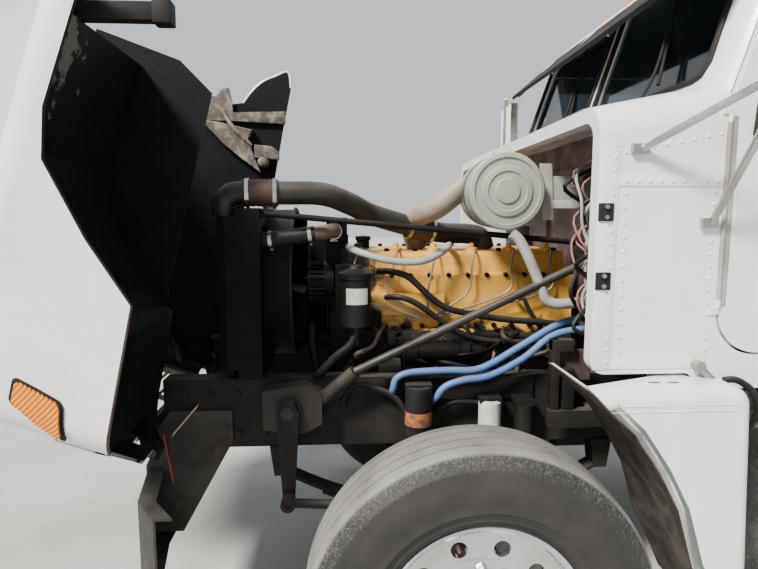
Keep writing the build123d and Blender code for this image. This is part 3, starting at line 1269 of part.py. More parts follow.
def dump_bed():
    """The steel bed: floor on sills, ribbed sides, headboard, cab guard, and the hinge lugs."""
    floor_low = BED_FLOOR
    out = BED_HALF - 40
    floor = block((BED_REAR_X, BED_FRONT_X), (-out, out), (floor_low, floor_low + BED_FLOOR_THICK))
    wall = slab_side([
        (BED_REAR_X, floor_low), (BED_FRONT_X, floor_low), (BED_FRONT_X, BED_TOP), (BED_REAR_X + 120, BED_TOP),
        (BED_REAR_X + 70, GATE_PIN_Z + 40), (GATE_PIN_X - 28, GATE_PIN_Z + 40), (GATE_PIN_X - 28, GATE_PIN_Z - 40),
        (BED_REAR_X, GATE_PIN_Z - 110),
    ], out - BED_WALL, out)
    rail = block((BED_REAR_X + 120, BED_FRONT_X), (out - BED_WALL - 25, out + 38), (BED_TOP - 90, BED_TOP))
    curb = block((BED_REAR_X, BED_FRONT_X), (out - 5, out + 30), (floor_low, floor_low + 110))
    side_parts = wall + rail + curb
    pitch = (BED_FRONT_X - BED_REAR_X - 80) / (POSTS - 1)
    for post in range(POSTS):
        x = BED_REAR_X + 40 + post * pitch
        side_parts += slab_top([
            (x - 40, out - 2), (x + 40, out - 2), (x + 26, BED_HALF), (x - 26, BED_HALF),
        ], floor_low + 20, BED_TOP - 40)
    pin = rod((GATE_PIN_X, out - 5, GATE_PIN_Z), (GATE_PIN_X, out - 80, GATE_PIN_Z), 14)
    side_parts += pin
    head = block((BED_FRONT_X - BED_WALL, BED_FRONT_X), (-out, out), (floor_low, BED_TOP))
    head += block((BED_FRONT_X - BED_WALL, BED_FRONT_X), (-BED_GUARD_HALF, BED_GUARD_HALF), (BED_TOP - 1, BED_GUARD_Z))
    guard = block((BED_FRONT_X - BED_WALL, BED_GUARD_X), (-BED_GUARD_HALF, BED_GUARD_HALF),
                  (BED_GUARD_Z - 6, BED_GUARD_Z + 14))
    guard += block((BED_GUARD_X - 30, BED_GUARD_X), (-BED_GUARD_HALF, BED_GUARD_HALF),
                   (BED_GUARD_Z - 50, BED_GUARD_Z + 14))
    sill = slab_side([
        (BED_FRONT_X - 60, RAIL_TOP + RUN), (BED_FRONT_X - 60, floor_low + 1), (BED_HINGE_X - 80, floor_low + 1),
        (BED_HINGE_X - 80, BED_HINGE_Z - 20), (BED_HINGE_X - 55, BED_HINGE_Z - 68),
        (BED_HINGE_X, RAIL_TOP + RUN + 4), (BED_HINGE_X + 60, RAIL_TOP + RUN),
    ], SILL_OUT - SILL_THICK, SILL_OUT)
    sill -= rod((BED_HINGE_X, SILL_OUT - SILL_THICK - 1, BED_HINGE_Z), (BED_HINGE_X, SILL_OUT + 1, BED_HINGE_Z),
                BED_PIN_R + PIN_RUN)
    well_low = BED_FLOOR - 95
    recess = slab_side([
        (BED_FRONT_X + 1, well_low), (BED_FRONT_X - RECESS_DEPTH, well_low), (BED_FRONT_X + 1, RECESS_TOP),
    ], -RECESS_HALF, RECESS_HALF)
    casing = slab_side([
        (BED_FRONT_X - 1, floor_low + 1), (BED_FRONT_X - RECESS_DEPTH - 12, floor_low + 1),
        (BED_FRONT_X - 1, RECESS_TOP + 36),
    ], -RECESS_HALF - 12, RECESS_HALF + 12)
    whole = floor + head + guard + side_parts + mirrored(side_parts) + sill + mirrored(sill) + casing
    whole -= recess
    for x in bed_cross_sills():
        whole += block((x - 30, x + 30), (-out + 20, out - 20), (floor_low - 85, floor_low + 1))
    for _, side in SIDES:
        lug = slab_side([
            (BED_FRONT_X - 2, HOIST_TOP_Z - 40), (BED_FRONT_X - 2, HOIST_TOP_Z + 120),
            (HOIST_X + 45, HOIST_TOP_Z + 40), (HOIST_X + 45, HOIST_TOP_Z - 40),
        ], HOIST_EYE_HALF + SEAT, HOIST_EYE_HALF + 22)
        lug += rod((HOIST_X, HOIST_EYE_HALF + 20, HOIST_TOP_Z), (HOIST_X, HOIST_EYE_HALF + 34, HOIST_TOP_Z), 30)
        whole += sided(lug, side)
    return whole


def bed_cross_sills():
    """Where the beams across under the bed's floor stand."""
    count = 8
    first = BED_FRONT_X - RECESS_DEPTH - 60
    last = BED_HINGE_X + 170
    return [first + (last - first) * number / (count - 1) for number in range(count)]


def tailgate():
    """The tailgate, hung from the two pins at its top, with level and upright ribs."""
    front = BED_REAR_X - RUN
    out = BED_HALF - 40
    plate = block((front - 12, front), (-out, out), (BED_FLOOR + 10, BED_TOP - 95))
    frame = block((front - GATE_THICK, front), (-out, out), (BED_FLOOR, BED_TOP - 90))
    frame -= block((front - GATE_THICK - 1, front - 10), (-out + 60, out - 60), (BED_FLOOR + 70, BED_TOP - 160))
    whole = plate + frame
    for y in (-out / 3, out / 3):
        whole += block((front - GATE_THICK + 4, front - 5), (y - 30, y + 30), (BED_FLOOR + 60, BED_TOP - 150))
    middle = (BED_FLOOR + BED_TOP - 90) / 2
    whole += block((front - GATE_THICK + 6, front - 5), (-out + 50, out - 50), (middle - 30, middle + 30))
    for _, side in SIDES:
        y = (out - BED_WALL - RUN - 34, out - BED_WALL - RUN)
        ear = slab_side([
            (GATE_PIN_X - 26, BED_TOP - 100), (GATE_PIN_X - 26, GATE_PIN_Z + 22), (GATE_PIN_X + 26, GATE_PIN_Z + 22),
            (GATE_PIN_X + 26, BED_TOP - 100),
        ], *y)
        ear -= rod((GATE_PIN_X, y[0] - 1, GATE_PIN_Z), (GATE_PIN_X, y[1] + 1, GATE_PIN_Z), 14 + PIN_RUN)
        whole += sided(ear, side)
    return whole


def bed_hinges():
    """The ears on the rails' rear ends, with the pins that the bed turns on."""
    near = RAIL_OUT + SEAT
    ear = slab_side([
        (BED_HINGE_X - 60, RAIL_BOTTOM + 60), (BED_HINGE_X - 60, BED_HINGE_Z), (BED_HINGE_X - 30, BED_HINGE_Z + 52),
        (BED_HINGE_X + 30, BED_HINGE_Z + 52), (BED_HINGE_X + 60, BED_HINGE_Z), (BED_HINGE_X + 60, RAIL_BOTTOM + 60),
    ], near, near + 25)
    pin = rod((BED_HINGE_X, near + 24, BED_HINGE_Z), (BED_HINGE_X, SILL_OUT - SILL_THICK - 8, BED_HINGE_Z), BED_PIN_R)
    return both(ear + pin)


HOIST_EYE_HALF = 30.0
HOIST_FIT = 0.5
HOIST_FOOT_HALF = 34.0
BARREL_TOP = 2240.0


def hoist_tube_radius(stage):
    """The outer radius of a hoist tube, the barrel being stage 0."""
    return HOIST_R - stage * (HOIST_WALL + HOIST_FIT)


def hoist_mount():
    """The two cheeks on a crossmember that carry the hoist's foot, with its pin."""
    top = RAIL_TOP - CROSSMEMBERS[2][2] - 1
    cheek = slab_side([
        (HOIST_X - 44, top), (HOIST_X + 44, top), (HOIST_X + 44, HOIST_Z - 10), (HOIST_X + 20, HOIST_Z + 30),
        (HOIST_X - 20, HOIST_Z + 30), (HOIST_X - 44, HOIST_Z - 10),
    ], HOIST_FOOT_HALF + RUN, HOIST_FOOT_HALF + RUN + 20)
    pin = rod((HOIST_X, -HOIST_FOOT_HALF - RUN - 19, HOIST_Z), (HOIST_X, HOIST_FOOT_HALF + RUN + 19, HOIST_Z), 22)
    return cheek + mirrored(cheek) + pin


def hoist_barrel():
    """The hoist's outer tube, closed below by its foot."""
    foot = slab_side([
        (HOIST_X - 40, HOIST_Z), (HOIST_X - 28, HOIST_Z - 30), (HOIST_X + 28, HOIST_Z - 30), (HOIST_X + 40, HOIST_Z),
        (HOIST_X + 40, HOIST_Z + 60), (HOIST_X - 40, HOIST_Z + 60),
    ], -HOIST_FOOT_HALF, HOIST_FOOT_HALF)
    foot -= rod((HOIST_X, -HOIST_FOOT_HALF - 1, HOIST_Z), (HOIST_X, HOIST_FOOT_HALF + 1, HOIST_Z), 22 + PIN_RUN)
    cap = rod((HOIST_X, 0, HOIST_Z + 48), (HOIST_X, 0, HOIST_Z + 66), HOIST_R)
    body = tube((HOIST_X, 0, HOIST_Z + 65), (HOIST_X, 0, BARREL_TOP), HOIST_R, HOIST_WALL)
    return foot + cap + body


def hoist_stage(stage):
    """One moving tube of the hoist. The last is the rod with its eye."""
    low = HOIST_Z + 70
    top = BARREL_TOP + 8 * stage
    radius = hoist_tube_radius(stage)
    if stage < HOIST_STAGES:
        return tube((HOIST_X, 0, low), (HOIST_X, 0, top), radius, HOIST_WALL)
    shaft = rod((HOIST_X, 0, low), (HOIST_X, 0, top), radius)
    neck = rod((HOIST_X, 0, top - 1), (HOIST_X, 0, HOIST_TOP_Z), HOIST_EYE_HALF - 4)
    eye = rod((HOIST_X, -HOIST_EYE_HALF, HOIST_TOP_Z), (HOIST_X, HOIST_EYE_HALF, HOIST_TOP_Z), HOIST_EYE_R)
    return shaft + neck + eye


def rear_fittings():
    """The rear mud flaps with the arms that hold them off the bed's hinge ears, and the tail lamps."""
    ear_out = RAIL_OUT + 2 * SEAT + 25
    x = BED_HINGE_X + 30
    arm = block((x - 30, x + 10), (ear_out, BED_HALF - 20), (955, 995))
    flap = block((x - 16, x - 4), (REAR_TRACK / 2 - 310, BED_HALF - 25), (280, 960))
    lamp = block((FRAME_REAR - 50, FRAME_REAR - SEAT), (RAIL_OUT - 84, RAIL_OUT), (RAIL_BOTTOM + 30, RAIL_BOTTOM + 190))
    return group(both(arm + flap), both(lamp))


def assembly():
    """Every sub-part by name."""
    parts = {
        "frame_rails": frame_rails(),
        "crossmembers": crossmembers(),
        "front_bumper": front_bumper(),
        "suspension": group(front_springs(), rear_suspension()),
        "front_axle": front_axle(),
        "steering_gear": steering_gear(),
        "pitman_arm": pitman_arm(),
        "drag_link": drag_link(),
        "tie_rod": tie_rod(),
        "drive_axles": tandem_axles(),
        "driveline": driveline(),
        "engine": engine(),
        "engine_front": engine_front(),
        "filters": group(fuel_can(), filters()),
        "radiator": group(radiator(), stay_rods()),
        "fan": fan(),
        "charge_pipe": charge_pipe(),
        "coolant_hoses": coolant_hoses(),
        "air_cleaner": air_cleaner(),
        "exhaust_stack": exhaust_stack(),
        "fuel_tank": fuel_tank(),
        "battery_box": battery_box(),
        "cab_shell": cab_shell(),
        "cab_glass": cab_glass(),
        "firewall": firewall(),
        "visor": visor(),
        "cab_interior": cab_interior(),
        "frame_brackets": group(cab_mounts(), bed_hinges()),
        "mirrors": mirrors(),
        "quarter_fenders": quarter_fenders(),
        "hood_shell": hood_shell(),
        "hood_liners": hood_liners(),
        "grille": grille(),
        "head_lamps": head_lamps(),
        "dump_bed": dump_bed(),
        "tailgate": tailgate(),
        "hoist_barrel": hoist_barrel(),
        "rear_fittings": rear_fittings(),
    }
    for stage in range(1, HOIST_STAGES):
        parts[f"hoist_stage_{stage}"] = hoist_stage(stage)
    parts["hoist_rod"] = hoist_stage(HOIST_STAGES)
    for name, side in SIDES:
        parts[f"door_{name}"] = door(side)
        parts[f"door_glass_{name}"] = door_glass(side)
        parts[f"knuckle_{name}"] = knuckle(side)
        parts[f"tyre_front_{name}"], parts[f"rim_front_{name}"] = front_wheel(side)
        for place, x in zip(("mid", "rear"), tandem_places()):
            parts[f"tyres_{place}_{name}"], parts[f"rims_{place}_{name}"] = dual_wheel(x, side)
    return parts


def main():
    """Builds the truck, puts its origin under its middle and writes one file for each sub-part."""
    parts = assembly()
    boxes = [part.bounding_box() for part in parts.values()]
    middle = (min(box.min.X for box in boxes) + max(box.max.X for box in boxes)) / 2
    os.makedirs("parts", exist_ok=True)
    for name, part in parts.items():
        export_step(Pos(-middle, 0, 0) * part, f"parts/{name}.step")
    print("parts", len(parts), "shifted by", round(-middle, 3))


main()
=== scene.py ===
"""Dresses a tandem-axle dump truck with its hood tilted open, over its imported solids.

Sizes are in metres and measured as on the truck: X forward from the front axle, Y to the truck's
left and Z up from the ground. Points and sections were measured in the photo, or chosen where it
shows nothing. Form.data and Pattern.make shift them into the frame.
"""

import logging
import math
import random
from dataclasses import dataclass, field
from enum import Enum
from typing import Callable, Iterable, Sequence

import bmesh
import bpy
from mathutils import Matrix, Vector


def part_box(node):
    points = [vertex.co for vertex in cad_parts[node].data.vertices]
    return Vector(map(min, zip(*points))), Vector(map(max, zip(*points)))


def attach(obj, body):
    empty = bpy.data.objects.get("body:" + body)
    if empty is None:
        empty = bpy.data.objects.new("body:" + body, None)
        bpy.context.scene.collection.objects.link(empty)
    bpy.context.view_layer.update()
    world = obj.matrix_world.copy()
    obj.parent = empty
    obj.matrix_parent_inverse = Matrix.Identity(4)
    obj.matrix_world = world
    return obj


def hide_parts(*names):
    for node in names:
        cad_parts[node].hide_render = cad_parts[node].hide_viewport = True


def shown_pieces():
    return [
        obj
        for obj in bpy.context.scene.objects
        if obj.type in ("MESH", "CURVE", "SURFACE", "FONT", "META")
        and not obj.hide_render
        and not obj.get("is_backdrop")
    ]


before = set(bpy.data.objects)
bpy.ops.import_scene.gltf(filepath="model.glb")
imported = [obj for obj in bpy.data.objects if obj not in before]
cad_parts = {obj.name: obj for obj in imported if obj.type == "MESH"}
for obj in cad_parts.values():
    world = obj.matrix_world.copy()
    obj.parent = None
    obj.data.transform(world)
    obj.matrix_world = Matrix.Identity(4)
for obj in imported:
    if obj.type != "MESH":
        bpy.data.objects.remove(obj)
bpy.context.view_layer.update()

Colour = tuple[float, float, float]
Point = tuple[float, float, float]
Place = Sequence[float]
Route = Sequence[Place]
Profile = Sequence[tuple[float, float]]
Mesh = bpy.types.Mesh
Socket = bpy.types.NodeSocket
SHARP = math.radians(34)
MERGE = 1e-6
log = logging.getLogger("dump_truck")


def front_axle_x() -> float:
    """Where the front axle stands along the frame's X, in metres.

    Returns:
        The middle of the front axle's box.
    """
    low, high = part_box("front_axle")
    return (low.x + high.x) / 2


AXLE_X = front_axle_x()
TO_FRAME = Vector((AXLE_X, 0, 0))
HOOD_PIVOT = Vector((1.1, 0.0, 0.8))
HOOD_OPEN = math.radians(70)


def opened(point: Place) -> Vector:
    """Takes a point of the closed hood to where it is with the hood open.

    Args:
        point: X, Y and Z with the hood closed.

    Returns:
        The same point after the tilt about the hood's pivots.
    """
    turn = Matrix.Rotation(HOOD_OPEN, 3, "Y")
    return turn @ (Vector(point) - HOOD_PIVOT) + HOOD_PIVOT


# Finishes

class Nodes:
    """A short way to add shader nodes to one material and to join them."""

    def __init__(self, name: str) -> None:
        """Starts an empty material.

        Args:
            name: The material's name.
        """
        self.material = bpy.data.materials.new(name)
        self.material.use_nodes = True
        self.tree = self.material.node_tree
        self.tree.nodes.clear()
        self.output = self.tree.nodes.new("ShaderNodeOutputMaterial")
        self.coordinates = self.tree.nodes.new("ShaderNodeTexCoord")

    def add(self, kind: str, inputs: dict | None = None, **settings: object) -> bpy.types.Node:
        """Adds a node, with values or sockets for its inputs.

        Args:
            kind: The node's type name.
            inputs: Values or output sockets, by input name or number.
            settings: The node's own properties.

        Returns:
            The new node.
        """
        node = self.tree.nodes.new(kind)
        for key, value in settings.items():
            setattr(node, key, value)
        for key, value in (inputs or {}).items():
            if isinstance(value, Socket):
                self.tree.links.new(value, node.inputs[key])
            else:
                node.inputs[key].default_value = value
        return node

    def noise(self, scale: float, detail: float = 6.0, vector: Socket | None = None,
            rough: float = 0.6) -> Socket:
        """Fractal noise on the object's own coordinates.

        Args:
            scale: Features for each metre.
            detail: Octaves.
            vector: Coordinates to use instead.
            rough: How strong the fine octaves are.

        Returns:
            The noise's factor socket.
        """
        at = vector or self.coordinates.outputs["Object"]
        inputs = {"Vector": at, "Scale": scale, "Detail": detail, "Roughness": rough}
        return self.add("ShaderNodeTexNoise", inputs).outputs[0]

    def ramp(self, value: Socket, low: float, high: float, start: float = 0.0, end: float = 1.0) -> Socket:
        """Maps a value from low..high onto start..end, held at both ends.

        Args:
            value: What is mapped.
            low: Value that gives start.
            high: Value that gives end.
            start: Result at low.
            end: Result at high.

        Returns:
            The mapped socket.
        """
        inputs = {"Value": value, "From Min": low, "From Max": high, "To Min": start, "To Max": end}
        return self.add("ShaderNodeMapRange", inputs, clamp=True).outputs[0]

    def maths(self, operation: str, first: object, second: object = 0.0, held: bool = True) -> Socket:
        """One sum on two values or sockets.

        Args:
            operation: The Math node's operation.
            first: First value or socket.
            second: Second value or socket.
            held: Whether the result is kept between 0 and 1.

        Returns:
            The result's socket.
        """
        return self.add("ShaderNodeMath", {0: first, 1: second}, operation=operation,
            use_clamp=held).outputs[0]

    def mix(self, factor: object, first: object, second: object) -> Socket:
        """Blends two colours.

        Args:
            factor: 0 gives the first, 1 the second.
            first: Colour or socket.
            second: Colour or socket.

        Returns:
            The blended colour's socket.
        """
        node = self.add("ShaderNodeMix", data_type="RGBA")
        for number, value in ((0, factor), (6, first), (7, second)):
            if isinstance(value, Socket):
                self.tree.links.new(value, node.inputs[number])
            elif number == 0:
                node.inputs[0].default_value = value
            else:
                node.inputs[number].default_value = (*value, 1.0)
        return node.outputs[2]

    def vector(self, operation: str, *values: object) -> bpy.types.NodeOutputs:
        """A sum on vectors.

        Args:
            operation: The Vector Math node's operation.
            values: Vectors or sockets.

        Returns:
            The node's outputs, a vector first and a value by its name.
        """
        return self.add("ShaderNodeVectorMath", dict(enumerate(values)), operation=operation).outputs

    def dot(self, first: object, second: object) -> Socket:
        """The dot product of two vectors or sockets."""
        return self.vector("DOT_PRODUCT", first, second)["Value"]

    def offset(self, centre: Place) -> Socket:
        """The place on the object, measured from a centre.

        Args:
            centre: A point in the frame.

        Returns:
            The difference's socket.
        """
        return self.vector("SUBTRACT", self.coordinates.outputs["Object"], tuple(centre))[0]

    def finished(self, inputs: dict, normal: Socket | None) -> bpy.types.Material:
        """Joins the surface to the material's output.

        Args:
            inputs: Values or sockets of the surface, by input name.
            normal: The surface's relief, where it has one.

        Returns:
            The finished material.
        """
        shader = self.add("ShaderNodeBsdfPrincipled", inputs)
        if normal:
            self.tree.links.new(normal, shader.inputs["Normal"])
        self.tree.links.new(shader.outputs[0], self.output.inputs[0])
        return self.material



@dataclass(frozen=True)
class Finish:
    """A surface with a ground colour that varies, and dust, rust and grain on it."""

    name: str
    colour: Colour
    second: Colour | None = None
    patch_scale: float = 5.0
    patch_share: float = 0.5
    dust: float = 0.0
    dust_up: float = 0.0
    dust_colour: Colour = (0.47, 0.42, 0.35)
    rust: float = 0.0
    rust_scale: float = 7.0
    rust_colour: Colour = (0.2, 0.085, 0.04)
    metallic: float = 0.0
    roughness: float = 0.45
    rough_change: float = 0.15
    grain: float = 0.0
    grain_scale: float = 90.0
    coat: float = 0.0
    specular: float = 0.5

    def ground(self, nodes: Nodes) -> Socket:
        """The colour under the dust.

        Args:
            nodes: The material in the making.

        Returns:
            The colour's socket.
        """
        edge = 1.0 - self.patch_share
        share = nodes.ramp(nodes.noise(self.patch_scale, 8.0), edge * 0.9 - 0.02, edge * 0.9 + 0.16)
        second = self.second or tuple(channel * 0.82 for channel in self.colour)
        return nodes.mix(share, self.colour, second)

    def relief(self, nodes: Nodes) -> Socket | None:
        """The surface's grain.

        Args:
            nodes: The material in the making.

        Returns:
            A normal's socket, or None on a smooth surface.
        """
        if not self.grain:
            return None
        height = nodes.noise(self.grain_scale, 5.0)
        return nodes.add("ShaderNodeBump",
            {"Height": height, "Strength": self.grain, "Distance": 0.004}).outputs[0]

    def dirt(self, nodes: Nodes) -> Socket:
        """How much dust lies on each place, more where the surface looks up.

        Args:
            nodes: The material in the making.

        Returns:
            The amount's socket, from 0 to 1.
        """
        clouds = nodes.ramp(nodes.noise(2.3, 10.0, rough=0.68), 0.36, 0.66)
        up = nodes.dot(nodes.coordinates.outputs["Normal"], (0.0, 0.0, 1.0))
        level = nodes.ramp(up, 0.15, 0.85, self.dust, min(1.0, self.dust + self.dust_up))
        return nodes.maths("MULTIPLY", clouds, level)

    def build(self) -> bpy.types.Material:
        """Makes the material, or finds it if it is made already.

        Returns:
            The finished material.
        """
        made = bpy.data.materials.get(f"{self.name}_look")
        if made:
            return made
        nodes = Nodes(f"{self.name}_look")
        colour = self.ground(nodes)
        change = self.rough_change / 2
        rough = nodes.ramp(nodes.noise(self.patch_scale * 2.7, 6.0), 0.3, 0.7,
            max(0.03, self.roughness - change), min(1.0, self.roughness + change))
        metal: object = self.metallic
        if self.rust:
            edge = 0.72 - 0.34 * self.rust
            high = 0.8 - 0.34 * self.rust
            rust = nodes.ramp(nodes.noise(self.rust_scale, 12.0, rough=0.72), edge, high)
            deep = tuple(channel * 0.45 for channel in self.rust_colour)
            tone = nodes.mix(nodes.noise(40.0, 4.0), self.rust_colour, deep)
            colour = nodes.mix(rust, colour, tone)
            rough = nodes.maths("MAXIMUM", rough, nodes.maths("MULTIPLY", rust, 0.85))
            if self.metallic:
                metal = nodes.maths("SUBTRACT", self.metallic, rust)
        if self.dust or self.dust_up:
            dirt = self.dirt(nodes)
            colour = nodes.mix(dirt, colour, self.dust_colour)
            rough = nodes.maths("MAXIMUM", rough, nodes.maths("MULTIPLY", dirt, 0.95))
            if self.metallic:
                metal = nodes.maths("SUBTRACT", metal, dirt)
        return nodes.finished(
            {"Base Color": colour, "Roughness": rough, "Metallic": metal, "Coat Weight": self.coat,
            "Coat Roughness": 0.06, "Specular IOR Level": self.specular}, self.relief(nodes))


def scraped(nodes: Nodes, black: object) -> Socket:
    """Lays bare primer patches over the black beside the hood's lip.

    Args:
        nodes: The material in the making.
        black: The black's colour or socket.

    Returns:
        The colour's socket.
    """
    lip = opened((-0.1, 1.09, 1.2)) + TO_FRAME
    away = nodes.vector("LENGTH", nodes.offset(lip))["Value"]
    near = nodes.ramp(away, 0.08, 0.28, 0.11, -0.14)
    chips = nodes.maths("ADD", nodes.noise(15.0, 10.0, rough=0.7), near, False)
    return nodes.mix(nodes.ramp(chips, 0.6, 0.62), black, (0.1, 0.095, 0.085))


@dataclass(frozen=True)
class LinerPaint(Finish):
    """Matte black lining, scraped to the primer beside the hood's lip."""

    def ground(self, nodes: Nodes) -> Socket:
        """The scraped black, as a socket of the material in the making."""
        return scraped(nodes, super().ground(nodes))


@dataclass(frozen=True)
class EnginePaint(Finish):
    """Engine paint, lost under oil and soot low on the block, and darkened at its front by painted shade
    from the open hood.
    """

    # One near-black stands for the oil and soot low on the block and for the painted shade at its front.
    grime_and_shade: Colour = (0.004, 0.0035, 0.003)
    clean_above: float = 1.215
    unshaded_behind: float = 0.235

    def ground(self, nodes: Nodes) -> Socket:
        """The paint under its grime low on the block, and under its painted shade at the front.

        Args:
            nodes: The material in the making.

        Returns:
            The colour's socket.
        """
        place = nodes.offset((AXLE_X + self.unshaded_behind, 0.0, self.clean_above))
        low = nodes.ramp(nodes.dot(place, (0.0, 0.0, -1.0)), -0.07, 0.06, -0.16, 0.34)
        # Painted shade: the block's front is darkened as if it lay in the open hood's shadow.
        front = nodes.ramp(nodes.dot(place, (1.0, 0.0, 0.0)), -0.05, 0.1, -0.16, 0.22)
        most = nodes.maths("MAXIMUM", low, front, False)
        soot_and_shade = nodes.maths("ADD", nodes.noise(11.0, 10.0, rough=0.68), most, False)
        return nodes.mix(nodes.ramp(soot_and_shade, 0.5, 0.6), super().ground(nodes), self.grime_and_shade)


@dataclass(frozen=True)
class HoodPaint(Finish):
    """Hood paint: white gloss outside, and matte black with scrapes inside."""

    inside: Colour = (0.003, 0.003, 0.0035)

    def ground(self, nodes: Nodes) -> Socket:
        """White or black by which way the shell faces.

        Args:
            nodes: The material in the making.

        Returns:
            The colour's socket.
        """
        heart = opened((0.4, 0.0, 0.8)) + TO_FRAME
        outward = nodes.dot(nodes.coordinates.outputs["Normal"], nodes.offset(heart))
        return nodes.mix(nodes.ramp(outward, -0.02, 0.0), scraped(nodes, self.inside),
            super().ground(nodes))


@dataclass(frozen=True)
class TyreRubber(Finish):
    """Tyre rubber: dark sides with fine rings, and a pale dusty tread."""

    centre: Point = (0.0, 0.0, 0.518)
    tread_from: float = 0.492
    tread_colour: Colour = (0.19, 0.183, 0.168)

    def radius(self, nodes: Nodes) -> Socket:
        """How far each place is from the wheel's axis.

        Args:
            nodes: The material in the making.

        Returns:
            The distance's socket, in metres.
        """
        centre = (self.centre[0] + AXLE_X, self.centre[1], self.centre[2])
        flat = nodes.vector("MULTIPLY", nodes.offset(centre), (1.0, 0.0, 1.0))[0]
        return nodes.vector("LENGTH", flat)["Value"]

    def ground(self, nodes: Nodes) -> Socket:
        """Dark rubber with a worn pale tread and a speckled shoulder.

        Args:
            nodes: The material in the making.

        Returns:
            The colour's socket.
        """
        side = super().ground(nodes)
        radius = self.radius(nodes)
        speckle = nodes.ramp(nodes.noise(140.0, 6.0, rough=0.75), 0.5, 0.62, 0.0, 0.5)
        edge = self.tread_from
        shoulder = nodes.maths("MULTIPLY", nodes.ramp(radius, edge - 0.04, edge), speckle)
        mottled = nodes.mix(shoulder, side, (0.16, 0.155, 0.14))
        bare = nodes.ramp(radius, edge + 0.008, edge + 0.016)
        patchy = nodes.ramp(nodes.noise(9.0, 8.0), 0.3, 0.6, 0.55, 1.0)
        worn = nodes.maths("MULTIPLY", bare, patchy)
        return nodes.mix(worn, mottled, self.tread_colour)


@dataclass(frozen=True)
class Pane:
    """Clear or tinted glass, or a lamp's lens."""

    name: str
    colour: Colour
    roughness: float = 0.02
    transmission: float = 1.0
    ribs: float = 0.0

    def build(self) -> bpy.types.Material:
        """Makes the glass, or finds it if it is made already.

        Returns:
            The finished material.
        """
        made = bpy.data.materials.get(f"{self.name}_look")
        if made:
            return made
        nodes = Nodes(f"{self.name}_look")
        smear = nodes.ramp(nodes.noise(4.0, 6.0), 0.35, 0.75, self.roughness, self.roughness + 0.07)
        normal = None
        if self.ribs:
            wave = nodes.add("ShaderNodeTexWave",
                {"Vector": nodes.coordinates.outputs["Object"], "Scale": self.ribs, "Distortion": 0.0},
                bands_direction="DIAGONAL")
            normal = nodes.add("ShaderNodeBump",
                {"Height": wave.outputs[1], "Strength": 0.7, "Distance": 0.003}).outputs[0]
        return nodes.finished(
            {"Base Color": (*self.colour, 1.0), "Roughness": smear, "IOR": 1.45,
            "Transmission Weight": self.transmission}, normal)


WHITE = (0.8, 0.8, 0.78)
GREY_DUST = (0.36, 0.33, 0.29)

HOOD_WHITE = HoodPaint("hood_white", WHITE, (0.74, 0.74, 0.72), dust=0.05, dust_up=0.06, roughness=0.26,
    coat=0.4)
CAB_WHITE = Finish("cab_white", WHITE, (0.76, 0.76, 0.74), dust=0.08, dust_up=0.12, roughness=0.3, coat=0.3)
FENDER_WHITE = Finish("fender_white", WHITE, (0.75, 0.75, 0.73), dust=0.12, dust_up=0.22, rust=0.1,
    roughness=0.34, coat=0.2)
LINER_BLACK = Finish("liner_black", (0.003, 0.003, 0.003), (0.005, 0.005, 0.005), specular=0.15, dust=0.01,
    dust_up=0.1, dust_colour=GREY_DUST, roughness=0.62, grain=0.25)
HOOD_LINER = LinerPaint("hood_liner_black", (0.002, 0.002, 0.003), (0.004, 0.004, 0.005), specular=0.15,
    dust_up=0.03, dust_colour=GREY_DUST, roughness=0.6, grain=0.25)
CHASSIS_BLACK = Finish("chassis_black", (0.007, 0.0065, 0.006), (0.016, 0.013, 0.011), specular=0.2,
    dust=0.04, dust_up=0.2, rust=0.28, rust_colour=(0.055, 0.028, 0.017), dust_colour=GREY_DUST,
    roughness=0.6, grain=0.4)
OILY_BLACK = Finish("oily_black", (0.002, 0.002, 0.002), (0.005, 0.004, 0.0035), specular=0.1, dust=0.01,
    dust_up=0.16, rust=0.15, rust_colour=(0.03, 0.016, 0.01), dust_colour=(0.14, 0.12, 0.1),
    roughness=0.45, grain=0.35)
BUMPER_GREY = Finish("bumper_grey", (0.028, 0.027, 0.026), (0.009, 0.008, 0.008), specular=0.18,
    patch_share=0.45, dust=0.1, dust_up=0.2, rust=0.4, rust_colour=(0.1, 0.05, 0.028), metallic=0.3,
    roughness=0.55, grain=0.3)
ENGINE_YELLOW = EnginePaint("engine_yellow", (0.66, 0.33, 0.045), (0.34, 0.16, 0.02), patch_scale=7.0,
    patch_share=0.42, dust=0.06, dust_up=0.15, rust=0.22, rust_colour=(0.05, 0.03, 0.015), roughness=0.42,
    grain=0.3, dust_colour=(0.2, 0.15, 0.09))
PIPE_DARK = Finish("pipe_dark", (0.016, 0.014, 0.0125), (0.036, 0.028, 0.023), specular=0.3, dust=0.06,
    dust_up=0.18, rust=0.14, dust_colour=GREY_DUST, metallic=0.3, roughness=0.46)
HOSE_BLACK = Finish("hose_black", (0.005, 0.0045, 0.004), (0.011, 0.01, 0.009), specular=0.25, dust=0.02,
    dust_up=0.12, dust_colour=GREY_DUST, roughness=0.55, grain=0.2, grain_scale=220)
HOSE_BLUE = Finish("hose_blue", (0.05, 0.125, 0.33), (0.065, 0.13, 0.26), patch_scale=14, dust=0.08,
    dust_up=0.12, roughness=0.48, grain=0.15, grain_scale=260)
HOSE_GREY = Finish("hose_grey", (0.3, 0.3, 0.29), (0.2, 0.195, 0.185), dust=0.15, dust_up=0.2,
    roughness=0.5)
COUPLER = Finish("coupler_brown", (0.055, 0.017, 0.013), (0.035, 0.014, 0.011), specular=0.3,
    patch_scale=12, dust=0.08, dust_up=0.1, dust_colour=GREY_DUST, roughness=0.55, grain=0.2)
